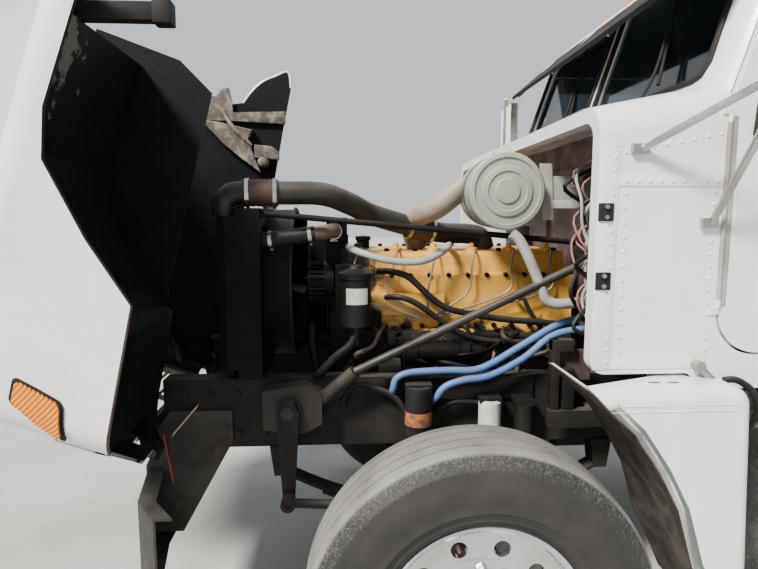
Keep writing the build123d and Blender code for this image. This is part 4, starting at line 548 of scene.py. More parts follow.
ELBOW_BROWN = Finish("elbow_brown", (0.13, 0.065, 0.05), (0.06, 0.034, 0.028), patch_scale=10, dust=0.1,
    dust_up=0.1, roughness=0.55)
CLEANER_GREEN = Finish("cleaner_green", (0.3, 0.32, 0.27), (0.22, 0.235, 0.2), patch_scale=4, dust=0.22,
    dust_up=0.2, roughness=0.42)
DUCT_BEIGE = Finish("duct_beige", (0.27, 0.225, 0.165), (0.15, 0.12, 0.09), dust=0.2, dust_up=0.2,
    roughness=0.55)
BEIGE_DUSTY = Finish("beige_dusty", (0.24, 0.2, 0.155), (0.055, 0.042, 0.034), patch_scale=17,
    patch_share=0.6, dust=0.1, dust_up=0.3, rust=0.22, roughness=0.7, grain=0.4)
FIREWALL_PINK = Finish("firewall_pink", (0.2, 0.135, 0.125), (0.06, 0.04, 0.038), specular=0.3,
    patch_scale=6, patch_share=0.6, dust=0.1, dust_up=0.2, dust_colour=(0.22, 0.18, 0.16), roughness=0.6)
SEAL_GREY = Finish("seal_grey", (0.34, 0.335, 0.32), (0.2, 0.185, 0.165), dust=0.2, roughness=0.55)
BARE_STEEL = Finish("bare_steel", (0.52, 0.52, 0.51), (0.38, 0.37, 0.36), metallic=1.0, dust=0.06,
    dust_up=0.1, roughness=0.28, rough_change=0.2)
DULL_STEEL = Finish("dull_steel", (0.3, 0.29, 0.28), (0.2, 0.18, 0.16), metallic=0.9, dust=0.15,
    dust_up=0.2, rust=0.16, roughness=0.48)
CHROME = Finish("chrome", (0.72, 0.72, 0.73), (0.6, 0.6, 0.61), metallic=1.0, dust=0.05, dust_up=0.05,
    roughness=0.12, rough_change=0.1)
POLISHED = Finish("polished_aluminium", (0.72, 0.73, 0.74), (0.62, 0.62, 0.62), metallic=1.0, dust=0.07,
    dust_up=0.05, roughness=0.2, rough_change=0.18)
TANK_METAL = Finish("tank_metal", (0.55, 0.56, 0.57), (0.44, 0.44, 0.44), metallic=1.0, dust=0.16,
    dust_up=0.2, roughness=0.34, rough_change=0.2)
RIM_WHITE = Finish("rim_white", (0.56, 0.555, 0.54), (0.42, 0.41, 0.38), patch_scale=8, dust=0.35,
    dust_up=0.3, rust=0.22, roughness=0.5)
BED_GREY = Finish("bed_grey", (0.34, 0.35, 0.36), (0.26, 0.27, 0.28), patch_scale=3, dust=0.22,
    dust_up=0.4, rust=0.36, rust_scale=4.0, roughness=0.5, grain=0.15)
RUBBER = Finish("rubber", (0.006, 0.006, 0.007), (0.012, 0.012, 0.012), specular=0.18, dust=0.03,
    dust_up=0.08, roughness=0.6, grain=0.15)
TRIM_GREY = Finish("trim_grey", (0.085, 0.085, 0.09), (0.06, 0.06, 0.062), dust=0.1, dust_up=0.15,
    roughness=0.6, grain=0.3, grain_scale=240)
LIP_BROWN = Finish("lip_brown", (0.045, 0.013, 0.011), (0.025, 0.01, 0.009), patch_scale=14, dust=0.15,
    roughness=0.5)
STRAP_RED = Finish("strap_red", (0.14, 0.012, 0.012), (0.06, 0.008, 0.008), patch_scale=20, dust=0.1,
    roughness=0.6)
STRIP_BEIGE = Finish("strip_beige", (0.5, 0.4, 0.27), (0.38, 0.29, 0.19), patch_scale=20, dust=0.2,
    roughness=0.6)
LABEL_PALE = Finish("label_pale", (0.62, 0.62, 0.56), (0.48, 0.47, 0.42), patch_scale=30, dust=0.2,
    roughness=0.5)
BAND_ORANGE = Finish("band_orange", (0.4, 0.085, 0.008), (0.05, 0.02, 0.01), patch_scale=30, dust=0.2,
    roughness=0.4)
FILTER_WHITE = Finish("filter_white", (0.62, 0.62, 0.6), (0.45, 0.44, 0.41), patch_scale=14, dust=0.2,
    roughness=0.4)
WIRE_RED = Finish("wire_red", (0.17, 0.022, 0.022), (0.24, 0.09, 0.09), patch_scale=40, patch_share=0.6,
    dust=0.2, roughness=0.55)
FLANGE_GREY = Finish("flange_grey", (0.6, 0.61, 0.59), (0.5, 0.5, 0.48), dust=0.15, roughness=0.4)
LINING_DUSTY = Finish("lining_dusty", (0.085, 0.07, 0.062), (0.032, 0.027, 0.024), specular=0.3,
    patch_scale=16, patch_share=0.55, dust=0.12, dust_up=0.1, roughness=0.8, grain=0.5)
GLASS_DARK = Pane("glass_dark", (0.22, 0.27, 0.3))
LENS_CLEAR = Pane("lens_clear", (0.88, 0.9, 0.9), roughness=0.04, transmission=0.55, ribs=30)
LENS_AMBER = Pane("lens_amber", (0.9, 0.27, 0.008), roughness=0.08, transmission=0.15, ribs=38)
LENS_RED = Pane("lens_red", (0.6, 0.02, 0.02), roughness=0.08, transmission=0.25, ribs=34)

FINISHED_NODES: Sequence[tuple[Finish | Pane, str]] = (
    (CHASSIS_BLACK,
    "frame_rails crossmembers frame_brackets suspension front_axle drive_axles knuckle_left"
    " knuckle_right tie_rod drag_link pitman_arm"), (OILY_BLACK, "driveline engine_front fan"),
    (PIPE_DARK, "steering_gear charge_pipe"), (BUMPER_GREY, "front_bumper"), (ENGINE_YELLOW, "engine"),
    (HOSE_BLACK, "filters coolant_hoses"), (LINER_BLACK, "radiator battery_box visor"),
    (CLEANER_GREEN, "air_cleaner"), (CHROME, "exhaust_stack"), (TANK_METAL, "fuel_tank"),
    (CAB_WHITE, "cab_shell door_left door_right"),
    (GLASS_DARK, "cab_glass door_glass_left door_glass_right"), (FIREWALL_PINK, "firewall"),
    (TRIM_GREY, "cab_interior"), (BARE_STEEL, "mirrors hoist_stage_1 hoist_stage_2 hoist_rod"),
    (FENDER_WHITE, "quarter_fenders"), (HOOD_WHITE, "hood_shell"), (HOOD_LINER, "hood_liners"),
    (BEIGE_DUSTY, "grille"), (LENS_CLEAR, "head_lamps"), (BED_GREY, "dump_bed tailgate"),
    (DULL_STEEL, "hoist_barrel"), (RUBBER, "rear_fittings"))


# Mesh making

def hoop(low: float, high: float, inner: float, outer: float) -> Profile:
    """The section of a flat band round something, from low to high along its axis."""
    return [(low, inner), (low, outer), (high, outer), (high, inner)]


def drum(length: float, radius: float) -> Profile:
    """The section of a plain cylinder that stands on its foot."""
    return [(0.0, 0.0), (0.0, radius), (length, radius), (length, 0.0)]


def circle(count: int, first: float = 0.0) -> list[tuple[float, float]]:
    """Evenly spaced directions.

    Args:
        count: How many there are.
        first: The first one's angle, in steps.

    Returns:
        The cosine and sine of each.
    """
    angles = [2 * math.pi * (number + first) / count for number in range(count)]
    return [(math.cos(angle), math.sin(angle)) for angle in angles]


class Form:
    """A mesh in the making, in metres as on the truck."""

    def __init__(self) -> None:
        """Starts an empty form."""
        self.mesh = bmesh.new()

    def face_ring(self, rings: list[list[bmesh.types.BMVert]], capped: bool = False) -> None:
        """Joins each closed ring of points to the next with faces.

        Args:
            rings: Rings of equal length.
            capped: Whether the first and last rings are filled.
        """
        for first, second in zip(rings, rings[1:]):
            for quad in zip(first, first[1:] + first[:1], second[1:] + second[:1], second):
                corners = list(dict.fromkeys(quad))
                if len(corners) > 2:
                    self.mesh.faces.new(corners)
        if capped:
            self.mesh.faces.new(list(reversed(rings[0])))
            self.mesh.faces.new(rings[-1])

    def soften(self, verts: Iterable[bmesh.types.BMVert], width: float) -> None:
        """Rounds the edges at some points.

        Args:
            verts: The points.
            width: The rounding's width, 0 for none.
        """
        if width:
            edges = list({edge for vert in verts for edge in vert.link_edges})
            bmesh.ops.bevel(self.mesh, geom=edges, offset=width, segments=2, affect="EDGES", profile=0.6)

    def lathe(self, profile: Profile, centre: Place, axis: Place = (0, 1, 0), segments: int = 48,
            closed: bool = False) -> "Form":
        """Turns a profile about an axis.

        Args:
            profile: Pairs of distance along the axis and radius.
            centre: The axis's origin.
            axis: The axis's direction.
            segments: Steps around.
            closed: Whether the profile's end joins its start.

        Returns:
            The form itself.
        """
        turn = Vector(axis).to_track_quat("Z", "Y")
        rings = []
        for along, radius in profile:
            if radius < MERGE:
                rings.append(
                    [self.mesh.verts.new(Vector(centre) + turn @ Vector((0, 0, along)))] * segments)
                continue
            rings.append(
                [self.mesh.verts.new(Vector(centre) + turn @ Vector((radius * x, radius * y, along)))
                for x, y in circle(segments)])
        self.face_ring([*rings, rings[0]] if closed else rings)
        return self

    def box(self, corner: Place, opposite: Place, bevel: float = 0.0) -> "Form":
        """A box, with its edges rounded where a bevel is given.

        Args:
            corner: One corner.
            opposite: The corner across from it.
            bevel: Width of the rounding.

        Returns:
            The form itself.
        """
        middle = (Vector(corner) + Vector(opposite)) / 2
        size = [abs(length) for length in Vector(opposite) - Vector(corner)]
        verts = bmesh.ops.create_cube(self.mesh, size=1.0)["verts"]
        for vert in verts:
            vert.co = middle + Vector([share * length for share, length in zip(vert.co, size)])
        self.soften(verts, bevel)
        return self

    def slab(self, outline: Route, thickness: Place, bevel: float = 0.0) -> "Form":
        """A flat outline made solid along one direction.

        Args:
            outline: The points of the outline, in order.
            thickness: The vector from this face to the other.
            bevel: Width of the edges' rounding.

        Returns:
            The form itself.
        """
        first = [self.mesh.verts.new(Vector(point)) for point in outline]
        second = [self.mesh.verts.new(Vector(point) + Vector(thickness)) for point in outline]
        self.mesh.faces.new(first)
        self.mesh.faces.new(list(reversed(second)))
        self.face_ring([first, second])
        self.soften(first + second, bevel)
        return self

    def tube(self, points: Route, radius: float, segments: int = 14, smooth: int = 8,
            ribs: float = 0.0) -> "Form":
        """A round bar or hose along a smooth path, closed at both ends.

        Args:
            points: The points that the path passes.
            radius: The tube's radius.
            segments: Steps around.
            smooth: Steps between two points, 1 for straight runs.
            ribs: Depth of the rings along a corrugated hose.

        Returns:
            The form itself.
        """
        path = smooth_path(points, smooth)
        rings = []
        side = None
        for number, place in enumerate(path):
            ahead = path[min(number + 1, len(path) - 1)] - path[max(number - 1, 0)]
            ahead.normalize()
            side = ahead.orthogonal() if side is None else side - ahead * side.dot(ahead)
            side.normalize()
            other = ahead.cross(side)
            here = radius + (ribs if number % 2 else 0.0)
            rings.append(
                [self.mesh.verts.new(place + here * (side * x + other * y)) for x, y in circle(segments)])
        self.face_ring(rings, True)
        return self

    def mirrored(self) -> "Form":
        """Adds the same shapes on the truck's other side.

        Returns:
            The form itself.
        """
        copy = bmesh.ops.duplicate(self.mesh,
            geom=self.mesh.verts[:] + self.mesh.edges[:] + self.mesh.faces[:])
        for item in copy["geom"]:
            if isinstance(item, bmesh.types.BMVert):
                item.co.y = -item.co.y
        return self

    def moved(self, change: Callable[[Vector], Vector]) -> "Form":
        """Moves every point.

        Args:
            change: Gives the new place for each old one.

        Returns:
            The form itself.
        """
        for vert in self.mesh.verts:
            vert.co = change(vert.co)
        return self

    def data(self, name: str) -> Mesh:
        """The finished mesh, in the frame, with its faces pointing out.

        Args:
            name: The mesh's name.

        Returns:
            The mesh.
        """
        bmesh.ops.remove_doubles(self.mesh, verts=self.mesh.verts, dist=MERGE)
        bmesh.ops.recalc_face_normals(self.mesh, faces=self.mesh.faces)
        for vert in self.mesh.verts:
            vert.co.x += AXLE_X
        for face in self.mesh.faces:
            face.smooth = True
        for edge in self.mesh.edges:
            edge.smooth = edge.calc_face_angle(0.0) < SHARP
        mesh = bpy.data.meshes.new(name)
        self.mesh.to_mesh(mesh)
        self.mesh.free()
        return mesh


def smooth_path(points: Route, steps: int) -> list[Vector]:
    """A smooth line through points, as a short run of places.

    Args:
        points: What the line passes.
        steps: Places between two points.

    Returns:
        The places in order.
    """
    knots = [Vector(point) for point in points]
    if steps < 2 or len(knots) < 3:
        return knots
    ends = [2 * knots[0] - knots[1], *knots, 2 * knots[-1] - knots[-2]]
    path = []
    for before, start, end, after in zip(ends, ends[1:], ends[2:], ends[3:]):
        for step in range(steps):
            t = step / steps
            bend = 2 * before - 5 * start + 4 * end - after
            twist = 3 * start - before - 3 * end + after
            path.append(0.5 * (2 * start + (end - before) * t + bend * t ** 2 + twist * t ** 3))
    return [*path, knots[-1]]


def add_piece(name: str, form: Form | Mesh, finish: Finish | Pane, body: str = "chassis",
        stands_for: Sequence[str] = (), slot: str | None = None) -> None:
    """Puts a finished piece into the scene, on its body.

    Args:
        name: The piece's name.
        form: Its form, or a mesh that is in the frame already.
        finish: Its finish.
        body: The CAD body that it rides on.
        stands_for: The CAD nodes that it replaces.
        slot: The record's material slot; it is not used.
    """
    mesh = form if isinstance(form, Mesh) else form.data(name)
    piece = bpy.data.objects.new(name, mesh)
    bpy.context.scene.collection.objects.link(piece)
    mesh.materials.clear()
    mesh.materials.append(finish.build())
    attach(piece, body)
    if stands_for:
        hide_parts(*stands_for)


class Unit(Enum):
    """What is set at each place of a pattern."""

    RIVET = "rivet"
    BOLT = "bolt"
    BLOCK = "block"


EXTENTS = ("Width", "Depth", "Height")
CONES = {Unit.BOLT: (6, 0.46), Unit.RIVET: (8, 0.22)}


@dataclass
class Pattern:
    """A shape repeated at many places by Geometry Nodes, and turned into one plain mesh."""

    name: str
    unit: Unit
    size: Point
    finish: Finish | Pane
    body: str = "chassis"
    slot: str | None = None
    places: list[tuple[Vector, Vector, Vector]] = field(default_factory=list)

    def put(self, place: Place, out: Place, along: Place | None = None) -> None:
        """Adds one place.

        Args:
            place: Where the unit's foot stands.
            out: The way it points.
            along: The way its own X points.
        """
        away = Vector(out).normalized()
        self.places.append((Vector(place), away, Vector(along) if along else away.orthogonal()))

    def row(self, start: Place, end: Place, count: int, out: Place) -> None:
        """Adds evenly spaced places from one point to another.

        Args:
            start: First place.
            end: Last place.
            count: How many there are.
            out: The way they point.
        """
        for number in range(count):
            share = number / max(count - 1, 1)
            self.put(Vector(start).lerp(Vector(end), share), out)

    def ring(self, centre: Place, axis: Place, radius: float, count: int, first: float = 0.0) -> None:
        """Adds places on a circle, pointing along its axis.

        Args:
            centre: The circle's middle.
            axis: Its axis.
            radius: Its radius.
            count: How many there are.
            first: The first one's angle, in steps.
        """
        turn = Vector(axis).to_track_quat("Z", "Y")
        for x, y in circle(count, first):
            spoke = turn @ Vector((x, y, 0))
            self.put(Vector(centre) + radius * spoke, axis, spoke)

    def tree(self) -> bpy.types.GeometryNodeTree:
        """The node tree: the unit on each point, turned by the point's own directions, then made real.

        Returns:
            The tree, with Width, Depth and Height as its inputs.
        """
        tree = bpy.data.node_groups.new(f"pattern_{self.name}", "GeometryNodeTree")
        tree.interface.new_socket("Geometry", in_out="INPUT", socket_type="NodeSocketGeometry")
        for label in EXTENTS:
            tree.interface.new_socket(label, in_out="INPUT", socket_type="NodeSocketFloat")
        tree.interface.new_socket("Geometry", in_out="OUTPUT", socket_type="NodeSocketGeometry")
        add, link = tree.nodes.new, tree.links.new
        start, end = add("NodeGroupInput"), add("NodeGroupOutput")
        size = add("ShaderNodeCombineXYZ")
        for number, label in enumerate(EXTENTS):
            link(start.outputs[label], size.inputs[number])
        if self.unit is Unit.BLOCK:
            unit = add("GeometryNodeMeshCube")
        else:
            unit = add("GeometryNodeMeshCone")
            sides, top = CONES[self.unit]
            for label, value in (("Vertices", sides), ("Radius Top", top), ("Radius Bottom", 0.5),
                    ("Depth", 1.0)):
                unit.inputs[label].default_value = value
        turns = []
        for label, axis in (("out", "Z"), ("along", "X")):
            named = add("GeometryNodeInputNamedAttribute")
            named.data_type = "FLOAT_VECTOR"
            named.inputs["Name"].default_value = label
            align = add("FunctionNodeAlignRotationToVector")
            align.axis = axis
            align.pivot_axis = "AUTO" if axis == "Z" else "Z"
            link(named.outputs["Attribute"], align.inputs["Vector"])
            if turns:
                link(turns[-1].outputs[0], align.inputs["Rotation"])
            turns.append(align)
        points = add("GeometryNodeInstanceOnPoints")
        real = add("GeometryNodeRealizeInstances")
        dressed = add("GeometryNodeSetMaterial")
        link(start.outputs["Geometry"], points.inputs["Points"])
        link(unit.outputs["Mesh"], points.inputs["Instance"])
        link(turns[-1].outputs[0], points.inputs["Rotation"])
        link(size.outputs[0], points.inputs["Scale"])
        link(points.outputs[0], real.inputs[0])
        link(real.outputs[0], dressed.inputs["Geometry"])
        dressed.inputs["Material"].default_value = self.finish.build()
        link(dressed.outputs[0], end.inputs[0])
        return tree

    def make(self) -> None:
        """Makes the pattern's mesh and puts it on its body."""
        mesh = bpy.data.meshes.new(f"{self.name}_points")
        mesh.from_pydata([place + TO_FRAME for place, _, _ in self.places], [], [])
        for label, number in (("out", 1), ("along", 2)):
            layer = mesh.attributes.new(label, "FLOAT_VECTOR", "POINT")
            layer.data.foreach_set("vector", [value for place in self.places for value in place[number]])
        holder = bpy.data.objects.new(f"{self.name}_holder", mesh)
        bpy.context.scene.collection.objects.link(holder)
        tree = self.tree()
        modifier = holder.modifiers.new("pattern", "NODES")
        modifier.node_group = tree
        sizes = dict(zip(EXTENTS, self.size))
        for item in tree.interface.items_tree:
            if item.name in sizes:
                modifier[item.identifier] = sizes[item.name]
        graph = bpy.context.evaluated_depsgraph_get()
        made = bpy.data.meshes.new_from_object(holder.evaluated_get(graph))
        holder.modifiers.remove(modifier)
        bpy.data.objects.remove(holder)
        made.name = self.name
        add_piece(self.name, made, self.finish, self.body, slot=self.slot)


def shade(mesh: Mesh) -> Mesh:
    """Makes a mesh smooth, apart from its sharp edges.

    Args:
        mesh: The mesh.

    Returns:
        The same mesh.
    """
    mesh.polygons.foreach_set("use_smooth", [True] * len(mesh.polygons))
    mesh.set_sharp_from_angle(angle=SHARP)
    return mesh


def drilled(mesh: Mesh, cutter: Form) -> Mesh:
    """Cuts one mesh out of another.

    Args:
        mesh: What is cut, in the frame.
        cutter: What is taken away.

    Returns:
        A new mesh.
    """
    holder = bpy.data.objects.new("drilled", mesh)
    tool = bpy.data.objects.new("cutter", cutter.data("cutter"))
    for item in (holder, tool):
        bpy.context.scene.collection.objects.link(item)
    cut = holder.modifiers.new("cut", "BOOLEAN")
    cut.object = tool
    cut.operation = "DIFFERENCE"
    cut.solver = "EXACT"
    made = bpy.data.meshes.new_from_object(holder.evaluated_get(bpy.context.evaluated_depsgraph_get()))
    for item in (holder, tool):
        bpy.data.objects.remove(item)
    return shade(made)


def add_sided(name: str, left: Mesh, finish: Finish, side: int, body: str, node: str, slot: str) -> None:
    """Puts one side's copy of a left part into the scene.

    Args:
        name: The piece's name.
        left: The left part's mesh.
        finish: Its finish.
        side: 1 for the left, -1 for the right.
        body: The CAD body that it rides on.
        node: The CAD node that it replaces.
        slot: The record's material slot.
    """
    copy = left.copy()
    copy.name = name
    if side < 0:
        copy.transform(Matrix.Scale(-1, 4, (0, 1, 0)))
        copy.flip_normals()
    add_piece(name, copy, finish, body, [node], slot)


SIDES = (("left", 1), ("right", -1))


# Wheels

def tyre_profile(middle: float, ribs: Sequence[float], groove: float,
        depth: float) -> list[tuple[float, float]]:
    """A tyre's section from bead to bead.

    Args:
        middle: Where its middle is along the axle.
        ribs: Distances of the tread grooves from the middle.
        groove: A groove's width.
        depth: A groove's depth.

    Returns:
        Pairs of place along the axle and radius.
    """
    crown, drop = 0.518, 0.55
    half = [(0.0, crown)]
    for away in ribs:
        top = crown - drop * away ** 2
        half += [(away, top), (away + 0.0012, top - depth), (away + groove - 0.0012, top - depth),
            (away + groove, top)]
    half += [(0.099, 0.5115), (0.106, 0.507), (0.112, 0.498), (0.119, 0.484), (0.1275, 0.467),
        (0.129, 0.4665), (0.13, 0.462), (0.1302, 0.458), (0.136, 0.434), (0.1395, 0.405), (0.1395, 0.378),
        (0.1365, 0.352), (0.1375, 0.35), (0.137, 0.346), (0.133, 0.343), (0.127, 0.325), (0.128, 0.322),
        (0.127, 0.318), (0.1215, 0.314), (0.115, 0.302), (0.11, 0.2955), (0.108, 0.2885)]
    return [(middle - away, radius) for away, radius in reversed(half[1:])] + [(middle + away, radius)
        for away, radius in half]


@dataclass
class SteerWheels:
    """The two front wheels: ribbed tyres on polished disc wheels."""

    track_half: float = 1.005
    height: float = 0.518
    nut_ring: float = 0.1425
    nuts: int = 10
    hole_ring: float = 0.205
    hole: float = 0.025

    def rim(self) -> Mesh:
        """The left disc wheel with its hub and hand holes.

        Returns:
            The mesh.
        """
        section = [(0.1083, 0.2878), (0.112, 0.2985), (0.1205, 0.2985), (0.1232, 0.292), (0.118, 0.2835),
            (0.1, 0.279), (0.074, 0.2765), (0.064, 0.268), (0.059, 0.25), (0.057, 0.23), (0.057, 0.182),
            (0.06, 0.169), (0.062, 0.165), (0.063, 0.11), (0.034, 0.11), (0.034, 0.256), (0.024, 0.2705),
            (0.0, 0.2755), (-0.105, 0.2785), (-0.119, 0.2835), (-0.123, 0.291), (-0.1205, 0.2985),
            (-0.112, 0.2985), (-0.1083, 0.2878)]
        centre = (0, self.track_half, self.height)
        disc = Form().lathe(section, centre, segments=120, closed=True).data("rim_disc")
        cutter = Form()
        for x, z in circle(10, 3.0):
            at = (self.hole_ring * x, self.track_half, self.height + self.hole_ring * z)
            cutter.lathe(drum(0.09, self.hole), at, segments=28)
        disc = drilled(disc, cutter)
        hub = Form().lathe(
            [(-0.086, 0.0405), (-0.086, 0.131), (0.033, 0.131), (0.033, 0.1095), (0.066, 0.1095),
            (0.068, 0.1), (0.074, 0.094), (0.094, 0.078), (0.1, 0.072), (0.118, 0.068), (0.124, 0.06),
            (0.128, 0.045), (0.1285, 0.0), (0.116, 0.0), (0.116, 0.0405), (-0.086, 0.0405)], centre,
            segments=64).data("rim_hub")
        joined = bmesh.new()
        for mesh in (disc, hub):
            joined.from_mesh(mesh)
        whole = bpy.data.meshes.new("rim_left")
        joined.to_mesh(whole)
        joined.free()
        return shade(whole)

    def build(self) -> None:
        """Makes tyres, rims and nuts on both sides."""
        profile = tyre_profile(self.track_half, (0.021, 0.066), 0.0095, 0.0125)
        tyre = Form().lathe(profile, (0, 0, self.height), segments=150, closed=True).data("steer_tyre")
        rim = self.rim()
        rubber = TyreRubber("tyre_rubber_front", (0.01, 0.0095, 0.009), (0.018, 0.0165, 0.015),
            patch_scale=7, dust=0.03, dust_colour=(0.3, 0.27, 0.23), roughness=0.62, grain=0.25,
            grain_scale=130)
        for name, side in SIDES:
            body = f"wheel_front_{name}"
            add_sided(f"steer_tyre_{name}", tyre, rubber, side, body, f"tyre_front_{name}", "tyre_rubber")
            add_sided(f"steer_rim_{name}", rim, POLISHED, side, body, f"rim_front_{name}", "rim_aluminium")
            centre = (0, side * (self.track_half + 0.063), self.height)
            nuts = Pattern(f"steer_nuts_{name}", Unit.BOLT, (0.037, 0.037, 0.034), CHROME, body)
            nuts.ring(centre, (0, side, 0), self.nut_ring, self.nuts, 0.5)
            nuts.ring((0, side * (self.track_half + 0.071), self.height), (0, side, 0), 0.087, 8)
            nuts.make()


@dataclass
class TwinWheels:
    """The twin wheels of the two driven axles: lugged tyres on dished white rims."""

    axles: tuple[tuple[str, float], ...] = (("mid", -4.54), ("rear", -5.86))
    seat: float = 0.93
    spread: float = 0.165
    height: float = 0.518
    nut_ring: float = 0.1425
    hole_ring: float = 0.205
    hole: float = 0.032
    lug_ring: float = 0.507
    lug_edge: float = 0.093
    lugs: int = 56

    def rims(self, x: float) -> Mesh:
        """Both rims of one side with their hub and drum.

        Args:
            x: The axle's place.

        Returns:
            The mesh.
        """
        section = [(0.2733, 0.2878), (0.277, 0.2985), (0.285, 0.2985), (0.287, 0.292), (0.28, 0.283),
            (0.26, 0.278), (0.05, 0.276), (0.023, 0.264), (0.014, 0.24), (0.012, 0.13), (0.018, 0.121),
            (0.08, 0.118), (0.1, 0.09), (0.2, 0.084), (0.215, 0.076), (0.218, 0.06), (0.234, 0.056),
            (0.235, 0.0), (0.223, 0.0), (0.223, 0.0405), (-0.06, 0.0405), (-0.06, 0.206), (-0.225, 0.206),
            (-0.225, 0.22), (-0.013, 0.22), (-0.013, 0.276), (-0.26, 0.278), (-0.28, 0.283),
            (-0.287, 0.292), (-0.285, 0.2985), (-0.277, 0.2985), (-0.2733, 0.2878)]
        whole = Form().lathe(section, (x, self.seat, self.height), segments=96, closed=True).data("rims")
        cutter = Form()
        for along, up in circle(8, 0.5):
            at = (x + self.hole_ring * along, self.seat - 0.01, self.height + self.hole_ring * up)
            cutter.lathe(drum(0.04, self.hole), at, segments=24)
        return drilled(whole, cutter)

    def build(self) -> None:
        """Makes tyres, rims, tread lugs and nuts on both sides of both axles."""
        for place, x in self.axles:
            profiles = [tyre_profile(self.seat + away, (0.012, 0.052), 0.012, 0.013)
                for away in (-self.spread, self.spread)]
            form = Form()
            for profile in profiles:
                form.lathe(profile, (x, 0, self.height), segments=110, closed=True)
            tyres = form.data("twin_tyres")
            rims = self.rims(x)
            rubber = TyreRubber(f"tyre_rubber_{place}", (0.022, 0.021, 0.02), (0.036, 0.034, 0.031),
                patch_scale=7, dust=0.24, dust_colour=(0.28, 0.25, 0.21), roughness=0.68, grain=0.25,
                grain_scale=130, centre=(x, 0.0, self.height), tread_colour=(0.19, 0.175, 0.155))
            for name, side in SIDES:
                body = f"wheels_{place}_{name}"
                add_sided(f"twin_tyres_{place}_{name}", tyres, rubber, side, body, f"tyres_{place}_{name}",
                    "tyre_rubber")
                add_sided(f"twin_rims_{place}_{name}", rims, RIM_WHITE, side, body, f"rims_{place}_{name}",
                    "rim_paint")
                nuts = Pattern(f"twin_nuts_{place}_{name}", Unit.BOLT, (0.036, 0.036, 0.05), DULL_STEEL,
                    body)
                nuts.ring((x, side * (self.seat + 0.012), self.height), (0, side, 0), self.nut_ring, 10,
                    0.5)
                nuts.ring((x, side * (self.seat + 0.2), self.height), (0, side, 0), 0.068, 8)
                nuts.make()
                lugs = Pattern(f"tread_lugs_{place}_{name}", Unit.BLOCK, (0.022, 0.03, 0.016), rubber, body)
                for middle in (self.seat - self.spread, self.seat + self.spread):
                    for edge, first in ((-self.lug_edge, 0.0), (self.lug_edge, 0.5)):
                        for along, up in circle(self.lugs, first):
                            out = Vector((along, 0, up))
                            at = Vector((x, side * (middle + edge), self.height)) + self.lug_ring * out
                            lugs.put(at, out, Vector((-out.z, 0, out.x)))
                lugs.make()


# Hood

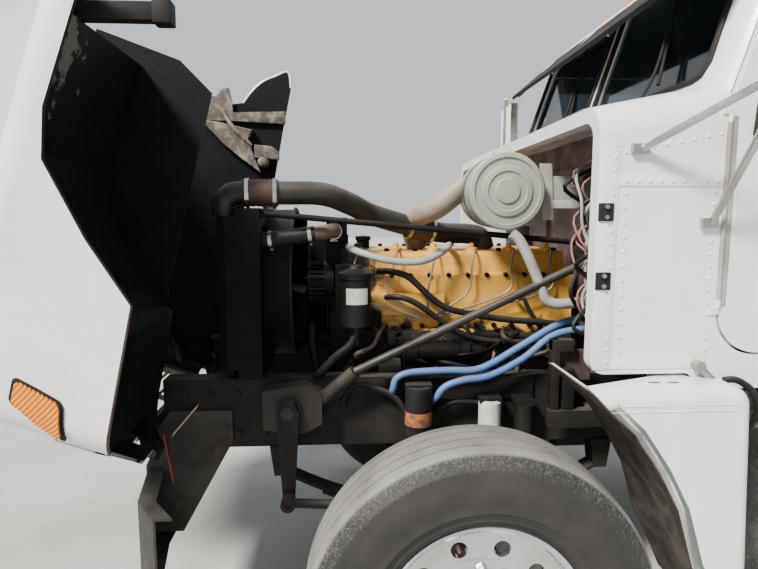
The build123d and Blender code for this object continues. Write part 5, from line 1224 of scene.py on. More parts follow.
@dataclass
class Hood:
    """What the hood carries apart from its shell: lip bands, lamps, brackets, ribs and latches."""

    rear: float = -0.3235
    half: float = 0.949
    top: float = 1.978
    fender: float = 1.0935
    out: float = 1.1
    corner: float = 0.095
    corner_from: float = 0.788
    shield: float = 0.5
    sunk: float = -0.004
    lamp: Point = (0.9665, 0.87, 0.9325)
    sweep: tuple[float, float] = (0.4671, 0.8842)
    lamp_corners: tuple[tuple[float, float], ...] = ((0.862, 0.918), (0.785, 1.084), (0.714, 1.09),
        (0.744, 0.95))

    @staticmethod
    def hang(name: str, form: Form, finish: Finish | Pane) -> None:
        """Puts a piece onto the hood.

        Args:
            name: The piece's name.
            form: Its form with the hood closed.
            finish: Its finish.
        """
        add_piece(name, form.moved(opened), finish, "hood")

    def lip(self) -> None:
        """The dark bands round the hood's rear edge and wheel openings, red-brown below."""
        side = [(self.fender, 1.216), (self.fender, 1.245), (1.066, 1.308), (1.0, 1.323), (0.966, 1.33),
            (self.half, 1.352), (self.half, 1.88), (0.935, 1.935), (0.895, 1.968), (0.85, self.top)]
        rear = [(self.rear, y, z) for y, z in side] + [(self.rear, -y, z) for y, z in reversed(side)]
        arch = [(x, self.fender, z) for x, z in ((self.rear, 1.214), (0.04, 1.214), (0.164, 1.181),
            (0.32, 1.024), (0.444, 0.869))]
        lower = [(x, self.fender, z) for x, z in ((0.444, 0.869), (0.62, 0.845), (0.785, 0.823))]
        lower += [(0.835, 1.078, 0.818), (0.868, 1.05, 0.815)]
        dark = Form().tube(arch, 0.0055, 8, 1).mirrored().tube(rear, 0.0055, 8, 1)
        self.hang("hood_lip_band", dark, RUBBER)
        self.hang("hood_lower_band", Form().tube(lower, 0.006, 8, 1).mirrored(), LIP_BROWN)

    def on_side(self, x: float, z: float, proud: float) -> Vector:
        """A place on the left fender's side and its rounded corner.

        Args:
            x: Place along the truck, with the hood closed.
            z: Height, with the hood closed.
            proud: How far it stands off the surface.

        Returns:
            The point.
        """
        turn = math.asin(max(0.0, x - self.corner_from) / self.corner)
        if not turn:
            return Vector((x, self.out + proud, z))
        reach = self.corner + proud
        return Vector(
            (self.corner_from + reach * math.sin(turn), self.out - self.corner + reach * math.cos(turn), z))

    def lamp_patch(self, share: float, proud: float) -> Form:
        """A corner lamp's rounded patch, wrapped round the fender's corner.

        Args:
            share: Its size as a share of the whole lamp's.
            proud: How far it stands off the fender.

        Returns:
            The form, on the left of the closed hood.
        """
        form = Form()
        corners = [Vector(corner) for corner in self.lamp_corners]
        middle = sum(corners, Vector((0, 0))) / 4
        first, second, third, fourth = [middle + (corner - middle) * share for corner in corners]
        rings = []
        for along, width in ((0.0, 0.7), (0.03, 0.88), (0.09, 0.98), (0.5, 1.0), (0.91, 0.98),
                (0.97, 0.88), (1.0, 0.7)):
            start, end = first.lerp(second, along), fourth.lerp(third, along)
            row = [start.lerp(end, 0.5 + (step / 6 - 0.5) * width) for step in range(7)]
            spots = [(place, proud) for place in row] + [(place, self.sunk) for place in reversed(row)]
            rings.append([form.mesh.verts.new(self.on_side(*place, away)) for place, away in spots])
        form.face_ring(rings, True)
        return form

    def corner_lamp(self) -> None:
        """The amber lamps on the fenders' corners, in their black gaskets."""
        self.hang("corner_lamp_gaskets", self.lamp_patch(1.0, 0.004).mirrored(), RUBBER)
        self.hang("corner_lamps", self.lamp_patch(0.86, 0.011).mirrored(), LENS_AMBER)

    def inside(self) -> None:
        """Stiffening ribs, the dusty brackets on the far shield with its pale edge, and the rest arms."""
        ribs = Form()
        for x in (-0.02, 0.42):
            taper = (self.half - 0.012) - (x - self.rear) * 0.338
            height = self.top - 0.012 - (x - self.rear) * 0.137
            path = [(x, taper - 0.034, 1.4), (x, taper - 0.034, height - 0.16),
                (x, taper - 0.072, height - 0.075), (x, taper - 0.16, height - 0.034)]
            path += [(x, -y, z) for _, y, z in reversed(path)]
            ribs.tube(path, 0.022, 8, 3)
        self.hang("hood_ribs", ribs, LINER_BLACK)
        brackets = Form()
        plates = (
            (0.024, ((-0.3, 1.312), (-0.309, 1.246), (-0.363, 1.236), (-0.378, 1.203), (-0.327, 1.172),
            (-0.262, 1.146), (-0.367, 0.895), (-0.305, 0.874), (-0.239, 1.095), (-0.174, 1.282))),
            (0.046, ((-0.174, 1.282), (-0.196, 1.19), (-0.219, 1.018), (-0.165, 1.033), (-0.12, 0.99),
            (-0.025, 0.91), (-0.06, 1.02), (-0.103, 1.141))),
            (0.062, ((-0.15, 0.985), (-0.172, 0.9), (-0.159, 0.857), (-0.121, 0.844), (-0.088, 0.963))))
        for deep, outline in plates:
            brackets.slab([(x, -self.shield - 0.001, z) for x, z in outline], (0, deep, 0), 0.005)
        brackets.lathe([(-0.005, 0.0), (-0.005, 0.026), (0.055, 0.028), (0.066, 0.018), (0.068, 0.0)],
            (-0.084, -self.shield, 0.914), (0, 1, 0), 20)
        brackets.tube(
            [(-0.26, -self.shield + 0.02, 1.2), (-0.2, -self.shield + 0.06, 1.12),
            (-0.14, -self.shield + 0.04, 1.0)], 0.01, 10)
        self.hang("hood_brackets", brackets, BEIGE_DUSTY)
        edge = [(-0.334, 1.115), (-0.4, 1.094), (-0.467, 1.058), (-0.519, 1.005), (-0.562, 0.949),
            (-0.492, 0.909)]
        rim = Form().tube([(x, -self.shield - 0.003, z) for x, z in edge], 0.006, 8, 4)
        self.hang("shield_edge", rim, FENDER_WHITE)
        arms = Form().box((0.872, 0.98, 2.17), (1.12, 1.02, 2.217), 0.004)
        arms.box((0.827, 0.974, 2.162), (0.876, 1.026, 2.222), 0.006)
        add_piece("hood_rest_arms", arms.mirrored(), RUBBER, "hood")

    def on_face(self, point: Vector) -> Vector:
        """Takes a place given out of, along and up the left lamp's face to the closed hood.

        Args:
            point: The place from the lamp's middle.

        Returns:
            The point.
        """
        along = Vector((-self.sweep[0], self.sweep[1], 0))
        out = Vector((along.y, -along.x, 0))
        return Vector(self.lamp) + out * point.x + along * point.y + Vector((0, 0, point.z))

    def front(self) -> None:
        """Lamp rims and reflectors, the grille's frame, a pull handle and the latches."""
        rims = Form()
        bowls = Form()
        for away, wide in ((-0.1055, 0.0045), (0.1055, 0.0045), (0.0, 0.003)):
            rims.box((-0.009, away - wide, -0.0545), (0.007, away + wide, 0.0545), 0.002)
        for up in (-0.0535, 0.0535):
            rims.box((-0.009, -0.11, up - 0.005), (0.007, 0.11, up + 0.005), 0.002)
        for away in (-0.052, 0.052):
            bowls.lathe([(0.0, 0.004), (0.006, 0.03), (0.022, 0.043), (0.026, 0.046)], (-0.03, away, 0),
                (1, 0, 0), 32)
        for name, form in (("lamp_rims", rims), ("lamp_bowls", bowls)):
            self.hang(name, form.moved(self.on_face).mirrored(), CHROME)
        frame_bars = Form()
        for y in (-0.379, 0.379):
            frame_bars.box((1.104, y - 0.01, 0.87), (1.122, y + 0.01, 1.65), 0.004)
        for z in (0.872, 1.648):
            frame_bars.box((1.104, -0.385, z - 0.01), (1.122, 0.385, z + 0.01), 0.004)
        frame_bars.tube(
            [(1.108, -0.16, 1.706), (1.145, -0.16, 1.712), (1.15, 0, 1.714), (1.145, 0.16, 1.712),
            (1.108, 0.16, 1.706)], 0.009, 12, 5)
        self.hang("grille_surround", frame_bars, CHROME)
        latch = Form()
        for side in (1, -1):
            latch.box((-0.3, side * 0.956 - 0.006, 1.64), (-0.245, side * 0.956 + 0.01, 1.68), 0.004)
            latch.tube(
                [(-0.275, side * 0.968, 1.675), (-0.275, side * 0.974, 1.6), (-0.285, side * 0.97, 1.545)],
                0.008, 10)
        self.hang("hood_latches", latch, RUBBER)

    def build(self) -> None:
        """Makes all of it."""
        self.lip()
        self.corner_lamp()
        self.inside()
        self.front()


# Engine bay

@dataclass
class EngineBay:
    """Pipes, hoses, wiring and small parts round the engine and on the firewall."""

    firewall: float = -0.619
    cylinder_gap: float = 0.16
    cylinders: int = 6
    seed: int = 41

    def charge_air(self) -> None:
        """The charge pipe with its ribbed couplers and bright clamps."""
        route = [(0.84, 0.385, 1.671), (0.84, 0.385, 1.715), (0.822, 0.384, 1.742), (0.78, 0.38, 1.757),
            (0.62, 0.366, 1.758), (0.47, 0.352, 1.755), (0.37, 0.29, 1.722), (0.271, 0.195, 1.677),
            (0.12, 0.145, 1.633), (-0.032, 0.105, 1.6), (-0.15, 0.08, 1.594), (-0.215, 0.068, 1.58),
            (-0.24, 0.06, 1.528)]
        add_piece("charge_air_pipe", Form().tube(route, 0.0445, 28, 6), PIPE_DARK,
            stands_for=["charge_pipe"], slot="pipe_dark")
        first = [(0.767, 0.379, 1.757), (0.7, 0.373, 1.758), (0.636, 0.367, 1.758)]
        second = [(0.12, 0.145, 1.633), (0.06, 0.13, 1.618), (0.0, 0.114, 1.606)]
        add_piece("charge_couplers", Form().tube(first, 0.0495, 28, 6, 0.003).tube(second, 0.0495, 28, 6,
            0.003), COUPLER)
        clamps = Form()
        for route_end in (first, second):
            for near, far in ((0, 1), (2, 1)):
                at = Vector(route_end[near]).lerp(Vector(route_end[far]), 0.22)
                self.clamp(clamps, at, Vector(route_end[far]) - Vector(route_end[near]), 0.0545)
        add_piece("charge_clamps", clamps, BARE_STEEL)

    @staticmethod
    def clamp(form: Form, at: Vector, axis: Vector, radius: float) -> None:
        """Adds a worm-drive clamp round a hose.

        Args:
            form: What it is added to.
            at: Its middle.
            axis: The hose's direction.
            radius: The hose's radius.
        """
        form.lathe(hoop(-0.007, 0.007, radius - 0.002, radius + 0.0015), at, axis, 28, True)
        up = Vector((0, 0.6, 0.8))
        side = axis.normalized().cross(up).normalized()
        housing = at + side.cross(axis.normalized()).normalized() * -(radius + 0.005)
        form.tube([housing - side * 0.016, housing + side * 0.016], 0.006, 8, 1)

    def coolant(self) -> None:
        """The radiator hose with its pink-brown elbow, the two blue hoses and the grey one."""
        top = [(0.6997, 0.362, 1.578), (0.65, 0.362, 1.583), (0.56, 0.362, 1.594), (0.5, 0.361, 1.603)]
        elbow = [(0.505, 0.361, 1.602), (0.455, 0.352, 1.61), (0.432, 0.325, 1.611), (0.43, 0.27, 1.61),
            (0.43, 0.2155, 1.61)]
        add_piece("radiator_hose", Form().tube(top, 0.0305, 24, 5), HOSE_BLACK,
            stands_for=["coolant_hoses"], slot="hose_rubber")
        add_piece("coolant_elbow", Form().tube(elbow, 0.0285, 24, 6), ELBOW_BROWN)
        clamps = Form()
        for at, axis in (((0.672, 0.362, 1.581), (1, 0, -0.1)), ((0.52, 0.361, 1.6), (1, 0, -0.1)),
                ((0.43, 0.24, 1.61), (0, 1, 0))):
            self.clamp(clamps, Vector(at), Vector(axis), 0.0325)
        add_piece("coolant_clamps", clamps, BARE_STEEL)
        first = [(0.205, 0.446, 1.0), (0.206, 0.468, 1.004), (0.204, 0.482, 1.022), (0.192, 0.484, 1.058),
            (0.14, 0.484, 1.08), (0.0, 0.484, 1.086), (-0.131, 0.484, 1.092), (-0.286, 0.47, 1.172),
            (-0.43, 0.455, 1.25), (-0.545, 0.44, 1.278), (-0.6195, 0.44, 1.278)]
        second = [(0.06, 0.47, 0.96), (0.045, 0.505, 0.985), (0.01, 0.512, 1.03), (-0.06, 0.512, 1.055),
            (-0.16, 0.505, 1.068), (-0.29, 0.495, 1.13), (-0.41, 0.48, 1.215), (-0.54, 0.475, 1.24),
            (-0.6195, 0.475, 1.24)]
        add_piece("heater_hoses", Form().tube(first, 0.0135, 18, 6).tube(second, 0.0135, 18, 6), HOSE_BLUE,
            slot="hose_rubber")
        grey = [(0.372, 0.3, 1.548), (0.33, 0.37, 1.532), (0.25, 0.4, 1.508), (0.173, 0.4, 1.495),
            (0.11, 0.395, 1.494), (0.057, 0.38, 1.504), (0.0, 0.35, 1.53), (-0.035, 0.3, 1.552),
            (-0.05, 0.2, 1.548)]
        add_piece("grey_hose", Form().tube(grey, 0.014, 18, 6), HOSE_GREY)

    def black_lines(self) -> None:
        """Oil, fuel and air lines over the engine's left side and down to the rail."""
        runs = (
            (0.013, ((0.25, 0.29, 1.45), (0.2, 0.345, 1.452), (0.132, 0.36, 1.43), (0.04, 0.365, 1.345),
            (-0.04, 0.365, 1.3), (-0.23, 0.362, 1.262), (-0.393, 0.36, 1.246), (-0.52, 0.35, 1.23))),
            (0.012, ((0.24, 0.29, 1.34), (0.18, 0.35, 1.352), (0.11, 0.36, 1.33), (0.01, 0.362, 1.262),
            (-0.111, 0.358, 1.188), (-0.253, 0.355, 1.165), (-0.42, 0.35, 1.16))),
            (0.012, ((0.391, 0.447, 0.95), (0.389, 0.47, 0.985), (0.35, 0.478, 1.03), (0.29, 0.47, 1.022),
            (0.205, 0.47, 0.985), (0.16, 0.48, 0.93), (0.135, 0.49, 0.89))),
            (0.016, ((0.54, 0.33, 1.01), (0.491, 0.43, 1.062), (0.426, 0.45, 1.134), (0.37, 0.455, 1.18),
            (0.347, 0.45, 1.222))),
            (0.01, ((0.06, 0.445, 0.9), (0.02, 0.475, 0.935), (-0.04, 0.48, 0.96), (-0.15, 0.47, 0.95),
            (-0.23, 0.45, 0.93))),
            (0.009, ((0.3, 0.3, 1.24), (0.26, 0.345, 1.215), (0.22, 0.345, 1.12), (0.228, 0.34, 1.02),
            (0.26, 0.33, 0.93))),
            (0.009, ((-0.06, 0.31, 1.24), (-0.1, 0.35, 1.225), (-0.13, 0.35, 1.13),
            (-0.128, 0.335, 1.02))),
            (0.009, ((-0.3, 0.31, 1.35), (-0.33, 0.345, 1.345), (-0.36, 0.35, 1.29), (-0.42, 0.35, 1.2))))
        form = Form()
        for radius, points in runs:
            form.tube(points, radius, 12, 6)
        add_piece("oil_and_fuel_lines", form, HOSE_BLACK)
        steel = Form()
        for number in range(self.cylinders):
            x = -0.48 + self.cylinder_gap * number
            steel.tube(
                [(x, 0.235, 1.528), (x + 0.012, 0.272, 1.524), (x + 0.03, 0.305, 1.47),
                (x + 0.052, 0.318, 1.36), (0.02 + 0.012 * number, 0.322, 1.262)], 0.0042, 8, 6)
        add_piece("injector_lines", steel, DULL_STEEL)

    def engine_block(self) -> None:
        """Bolts, covers, plugs and the pump that give the block its look."""
        bolts = Pattern("engine_bolts", Unit.BOLT, (0.022, 0.022, 0.018), OILY_BLACK)
        for side in (1, -1):
            for start, end, y, z, count, out in ((-0.515, 0.355, 0.27, 1.43, 12, (0, side, 0)),
                    (-0.53, 0.37, 0.281, 1.222, 13, (0, side, 0)),
                    (-0.52, 0.36, 0.297, 0.87, 12, (0, side, 0)), (-0.5, 0.33, 0.215, 1.52, 8, (0, 0, 1))):
                bolts.row((start, side * y, z), (end, side * y, z), count, out)
        bolts.ring((0.446, 0, 1.0), (1, 0, 0), 0.18, 12)
        bolts.make()
        covers = Form()
        for number in range(3):
            x = -0.4 + 0.295 * number
            covers.box((x - 0.105, 0.3, 1.005), (x + 0.105, 0.321, 1.105), 0.01)
        covers.box((-0.14, 0.296, 1.15), (0.3, 0.345, 1.215), 0.014)
        covers.lathe([(0, 0.0), (0, 0.062), (0.09, 0.062), (0.1, 0.045), (0.16, 0.04), (0.17, 0.0)],
            (0.255, 0.318, 1.075), (-1, 0.0, 0.05), 28)
        covers.box((-0.02, 0.278, 1.27), (0.33, 0.318, 1.36), 0.012)
        for number in range(self.cylinders):
            x = -0.468 + self.cylinder_gap * number
            covers.lathe(
                [(0, 0.0), (0, 0.026), (0.014, 0.026), (0.018, 0.012), (0.034, 0.011), (0.036, 0.0)],
                (x, 0.205, 1.524), (0, 0.0, 1), 16)
        add_piece("engine_covers", covers, ENGINE_YELLOW, slot="engine_paint")
        filler = Form().lathe(
            [(0, 0.0), (0, 0.03), (0.035, 0.03), (0.04, 0.036), (0.056, 0.036), (0.06, 0.0)],
            (0.3, -0.08, 1.522), (0, 0, 1), 24)
        filler.tube([(0.1, 0.3, 0.93), (0.11, 0.345, 0.96), (0.112, 0.352, 1.15)], 0.008, 10, 4)
        filler.lathe([(0, 0.0), (0, 0.036), (0.05, 0.036), (0.06, 0.028), (0.12, 0.026), (0.12, 0.0)],
            (-0.39, 0.335, 0.935), (1, 0, 0), 24)
        add_piece("engine_fittings", filler, OILY_BLACK)
        manifold = Form()
        for number in range(self.cylinders):
            x = -0.47 + self.cylinder_gap * number
            manifold.tube(
                [(x, -0.268, 1.33), (x, -0.32, 1.33), (x + (0.08 if x < -0.05 else -0.06), -0.345, 1.3)],
                0.026, 14, 5)
        manifold.tube([(-0.48, -0.35, 1.295), (0.33, -0.35, 1.295)], 0.034, 18, 1)
        manifold.lathe(
            [(-0.05, 0.0), (-0.05, 0.08), (-0.03, 0.098), (0.03, 0.098), (0.05, 0.08), (0.05, 0.0)],
            (-0.1, -0.352, 1.425), (1, 0, 0), 40)
        manifold.lathe([(0, 0.0), (0, 0.055), (0.1, 0.055), (0.11, 0.084), (0.17, 0.084), (0.19, 0.06),
            (0.19, 0.0)], (-0.05, -0.352, 1.425), (1, 0, 0), 40)
        manifold.tube([(-0.1, -0.352, 1.32), (-0.1, -0.352, 1.38)], 0.04, 16, 1)
        manifold.tube(
            [(-0.15, -0.352, 1.425), (-0.26, -0.37, 1.425), (-0.42, -0.41, 1.37), (-0.48, -0.42, 1.2),
            (-0.5, -0.425, 1.09)], 0.052, 20, 6)
        add_piece("exhaust_manifold", manifold, DULL_STEEL)

    def filters(self) -> None:
        """Bands and labels on the can and the spin-on filters, and the alternator's ribs."""
        can = (0.345, 0.45)
        label = Form()
        angles = [math.radians(52 + 7 * step) for step in range(13)]
        outer = [(can[0] + 0.0592 * math.cos(angle), can[1] + 0.0592 * math.sin(angle)) for angle in angles]
        for (x0, y0), (x1, y1) in zip(outer, outer[1:]):
            corners = ((x0, y0, 1.345), (x1, y1, 1.345), (x1, y1, 1.405), (x0, y0, 1.405))
            label.mesh.faces.new([label.mesh.verts.new(corner) for corner in corners])
        add_piece("can_label", label, LABEL_PALE)
        cone = Form().lathe([(0.0, 0.0588), (0.012, 0.0665), (0.024, 0.0665), (0.04, 0.03), (0.052, 0.024),
            (0.056, 0.0)], (can[0], can[1], 1.435), (0, 0, 1), 36)
        add_piece("can_cone", cone, HOSE_BLACK)
        black = Form().lathe(
            [(0.0, 0.03), (0.012, 0.047), (0.02, 0.0508), (0.165, 0.0508), (0.175, 0.0525),
            (0.186, 0.0508), (0.186, 0.03)], (0.11, 0.5, 0.846), (0, 0, 1), 36)
        add_piece("oil_filter", black, RUBBER)
        band = Form().lathe(hoop(0.0, 0.052, 0.05, 0.0516), (0.11, 0.5, 0.885), (0, 0, 1), 36, True)
        add_piece("oil_filter_band", band, BAND_ORANGE)
        white = Form().lathe(
            [(0.0, 0.02), (0.006, 0.037), (0.014, 0.0428), (0.135, 0.0428), (0.142, 0.03)],
            (-0.165, 0.5, 0.832), (0, 0, 1), 32)
        add_piece("fuel_filter", white, FILTER_WHITE)
        ribs = Pattern("alternator_ribs", Unit.BLOCK, (0.058, 0.004, 0.016), OILY_BLACK)
        for across, up in circle(22):
            out = Vector((0, across, up))
            ribs.put(Vector((0.5, 0.25, 1.405)) + 0.074 * out, out, (1, 0, 0))
        ribs.make()

    def cleaner(self) -> None:
        """The air cleaner's canister, its ringed cap, band clamp, duct and bracket."""
        y = 0.5
        profile = [(y - 0.24, 0.0), (y - 0.24, 0.12), (y - 0.228, 0.1365), (y - 0.036, 0.137),
            (y - 0.034, 0.143), (y - 0.012, 0.143), (y - 0.006, 0.1375), (y - 0.004, 0.124),
            (y - 0.01, 0.12), (y - 0.01, 0.096), (y - 0.003, 0.092), (y - 0.001, 0.074), (y - 0.006, 0.07),
            (y - 0.006, 0.048), (y, 0.044), (y, 0.0)]
        can = Form().lathe(profile, (-0.215, 0, 1.762), segments=72)
        can.box((-0.619, y - 0.19, 1.702), (-0.335, y - 0.07, 1.822), 0.006)
        add_piece("air_cleaner_can", can, CLEANER_GREEN, stands_for=["air_cleaner"], slot="cleaner_paint")
        band = Form().lathe(hoop(y - 0.15, y - 0.12, 0.1365, 0.1395), (-0.215, 0, 1.762), segments=72,
            closed=True)
        band.tube([(-0.215, y - 0.105, 1.902), (-0.18, y - 0.105, 1.902)], 0.007, 10, 1)
        add_piece("air_cleaner_band", band, DULL_STEEL)
        duct = Form().tube([(-0.1, 0.3, 1.8), (-0.05, 0.29, 1.755), (0.01, 0.26, 1.705), (0.06, 0.2, 1.68),
            (0.09, 0.11, 1.65), (0.08, 0.04, 1.59), (0.06, 0.02, 1.53)], 0.046, 24, 6)
        add_piece("intake_duct", duct, DUCT_BEIGE)
        strap = Form().slab(
            [(-0.352, 0.43, 1.868), (-0.4, 0.43, 1.868), (-0.412, 0.43, 1.655), (-0.372, 0.43, 1.655)],
            (0, 0.006, 0), 0.0015)
        strap.box((-0.619, 0.426, 1.7), (-0.395, 0.438, 1.73), 0.002)
        add_piece("cleaner_strap", strap, SEAL_GREY)

    def on_wall(self, plates: Iterable[Sequence[float]], bevel: float) -> Form:
        """Boxes that stand on the firewall.

        Args:
            plates: Each one's middle across and up, its width, height and depth.
            bevel: Their edges' rounding.

        Returns:
            The form.
        """
        form = Form()
        for y, z, width, height, deep in plates:
            form.box((self.firewall - 0.003, y - width / 2, z - height / 2),
                (self.firewall + deep, y + width / 2, z + height / 2), bevel)
        return form

    def wall(self) -> None:
        """Panels, boxes and the wiring on the firewall, with the grey seal that hangs before it."""
        panels = self.on_wall(
            ((0.55, 1.78, 0.26, 0.22, 0.018), (0.8, 1.62, 0.16, 0.3, 0.014),
            (0.36, 1.42, 0.24, 0.2, 0.022), (0.78, 1.34, 0.2, 0.18, 0.012), (-0.42, 1.72, 0.5, 0.3, 0.02),
            (-0.62, 1.38, 0.3, 0.24, 0.016), (0.02, 1.8, 0.3, 0.16, 0.016)), 0.005)
        add_piece("firewall_panels", panels, FIREWALL_PINK)
        boxes = self.on_wall(
            ((0.7, 1.5, 0.1, 0.12, 0.06), (0.6, 1.34, 0.12, 0.09, 0.085), (0.83, 1.8, 0.09, 0.14, 0.05),
            (-0.5, 1.55, 0.18, 0.14, 0.08), (0.46, 1.6, 0.09, 0.08, 0.05)), 0.006)
        boxes.lathe([(0, 0.0), (0, 0.12), (0.05, 0.12), (0.07, 0.1), (0.11, 0.095), (0.12, 0.0)],
            (self.firewall - 0.003, 0.645, 1.245), (1, 0, 0), 36)
        add_piece("firewall_boxes", boxes, HOSE_BLACK)
        chance = random.Random(self.seed)
        for name, finish, count, radius in (("wires_red", WIRE_RED, 8, 0.0042),
                ("wires_grey", HOSE_GREY, 4, 0.0052), ("wires_black", HOSE_BLACK, 15, 0.008)):
            form = Form()
            for _ in range(count):
                y = chance.uniform(0.5, 0.88)
                points = [Vector((self.firewall + 0.004, y, chance.uniform(1.84, 1.93)))]
                z = points[0].z
                while z > 1.36:
                    z -= chance.uniform(0.07, 0.12)
                    x = self.firewall + chance.uniform(0.04, 0.2)
                    across = max(0.46, min(0.9, y + chance.uniform(-0.06, 0.06)))
                    points.append(Vector((x, across, z)))
                points.append(Vector((self.firewall + 0.02, chance.uniform(0.5, 0.8), z - 0.06)))
                form.tube(points, radius, 7, 5)
            add_piece(name, form, finish)
        seal = Form().tube(
            [(-0.232, 0.5, 1.606), (-0.262, 0.505, 1.58), (-0.305, 0.508, 1.5), (-0.345, 0.508, 1.41),
            (-0.367, 0.505, 1.362), (-0.405, 0.505, 1.342), (-0.452, 0.5, 1.342), (-0.56, 0.49, 1.35),
            (-0.619, 0.48, 1.355)], 0.02, 14, 6)
        add_piece("cowl_seal", seal, SEAL_GREY)

    def cooling(self) -> None:
        """The radiator's fins, its cap, the belts and the shroud's edge."""
        fins = Pattern("radiator_fins", Unit.BLOCK, (0.005, 0.76, 0.004), OILY_BLACK)
        for number in range(52):
            z = 1.12 + 0.0104 * number
            fins.put((0.855, 0.0, z), (0, 0, 1), (1, 0, 0))
        fins.make()
        cap = Form().lathe(
            [(0, 0.0), (0, 0.03), (0.015, 0.03), (0.018, 0.038), (0.03, 0.038), (0.034, 0.0)],
            (0.745, -0.2, 1.698), (0, 0, 1), 24)
        add_piece("radiator_cap", cap, BARE_STEEL)
        belt = Form()
        loops = (((0.0, 0.88, 0.106), (0.0, 1.378, 0.086)), ((0.0, 1.378, 0.086), (0.25, 1.405, 0.04)))
        for x, ((y0, z0, r0), (y1, z1, r1)) in zip((0.462, 0.478), loops):
            angle = math.atan2(z1 - z0, y1 - y0)
            points = []
            for y, z, radius, start in ((y0, z0, r0, angle + math.pi / 2),
                    (y1, z1, r1, angle - math.pi / 2)):
                turns = [start + math.pi * step / 10 for step in range(11)]
                points += [(x, y + radius * math.cos(turn), z + radius * math.sin(turn)) for turn in turns]
            belt.tube([*points, points[0]], 0.006, 8, 1)
        add_piece("fan_belts", belt, RUBBER)
        guard = Form().lathe(
            [(0.598, 0.3225), (0.594, 0.326), (0.598, 0.332), (0.606, 0.333), (0.606, 0.3225)],
            (0, 0, 1.378), (1, 0, 0), 72, True)
        add_piece("shroud_edge", guard, RUBBER)

    def clutter(self) -> None:
        """The pump, brackets, hoses and fittings low on the block's side, and a thin dark sheet on the far
        side past the fan that stands in for shade.
        """
        # Painted shade: this thin dark sheet on the far side, past the fan, fills the view across the bay
        # with darkness.
        dark = Form().box((0.366, -0.406, 0.985), (0.69, -0.398, 1.578), 0.002)
        for low, high in (((0.215, 0.3, 1.02), (0.335, 0.352, 1.215)),
                ((-0.43, 0.3, 1.0), (-0.345, 0.362, 1.15)), ((0.345, 0.27, 1.0), (0.425, 0.33, 1.48)),
                ((-0.06, 0.3, 0.965), (0.06, 0.365, 1.05)), ((-0.3, 0.3, 0.95), (-0.18, 0.355, 1.06)),
                ((0.24, 0.24, 1.23), (0.33, 0.345, 1.29))):
            dark.box(low, high, 0.006)
        dark.lathe([(0.0, 0.0), (0.0, 0.05), (0.05, 0.05), (0.052, 0.04), (0.22, 0.04), (0.222, 0.05),
            (0.26, 0.05), (0.27, 0.03), (0.31, 0.028), (0.31, 0.0)], (0.15, 0.352, 1.125), (-1, 0, 0), 28)
        steel, brown = Form(), Form()
        chance = random.Random(self.seed + 5)
        for number in range(66):
            form = (dark, steel, dark, brown, dark, dark)[number % 6]
            place = (chance.uniform(-0.45, 0.43), 0.322, chance.uniform(0.96, 1.19))
            way = (chance.uniform(-1, 1), chance.uniform(0.2, 1.0), chance.uniform(-1, 1))
            radius, long = chance.uniform(0.007, 0.018), chance.uniform(0.03, 0.085)
            form.lathe([(0.0, 0.0), (0.0, radius), (long * 0.35, radius), (long * 0.38, radius * 0.65),
                (long, radius * 0.6), (long, 0.0)], place, Vector(way).normalized(), 10)
        for number in range(20):
            x, z = chance.uniform(-0.44, 0.44), chance.uniform(1.02, 1.235)
            points = [(x, 0.3, z)]
            for _ in range(3):
                x = max(-0.46, min(0.47, x + chance.uniform(-0.17, 0.13)))
                z -= chance.uniform(0.01, 0.07)
                points.append((x, chance.uniform(0.352, 0.405), max(0.93, z)))
            points.append((x - 0.03, 0.3, max(0.92, z - 0.04)))
            (dark, dark, brown, steel)[number % 4].tube(points, chance.uniform(0.005, 0.011), 9, 5)
        hung = ((0.52, 0.3, 1.23), (0.512, 0.37, 1.15), (0.49, 0.392, 1.06), (0.44, 0.4, 1.0),
            (0.38, 0.38, 0.93))
        dark.tube(hung, 0.017, 12, 5)
        # The dark form holds the block's clutter and the painted-shade sheet.
        for name, form, finish in (("block_clutter_and_shade_sheet", dark, OILY_BLACK),
                ("block_fittings", steel, PIPE_DARK), ("block_fittings_brown", brown, ELBOW_BROWN)):
            add_piece(name, form, finish)

    def build(self) -> None:
        """Makes all of it."""
        for step in (self.charge_air, self.coolant, self.black_lines, self.engine_block, self.filters,
                self.cleaner, self.wall, self.cooling, self.clutter):
            step()


# Cab

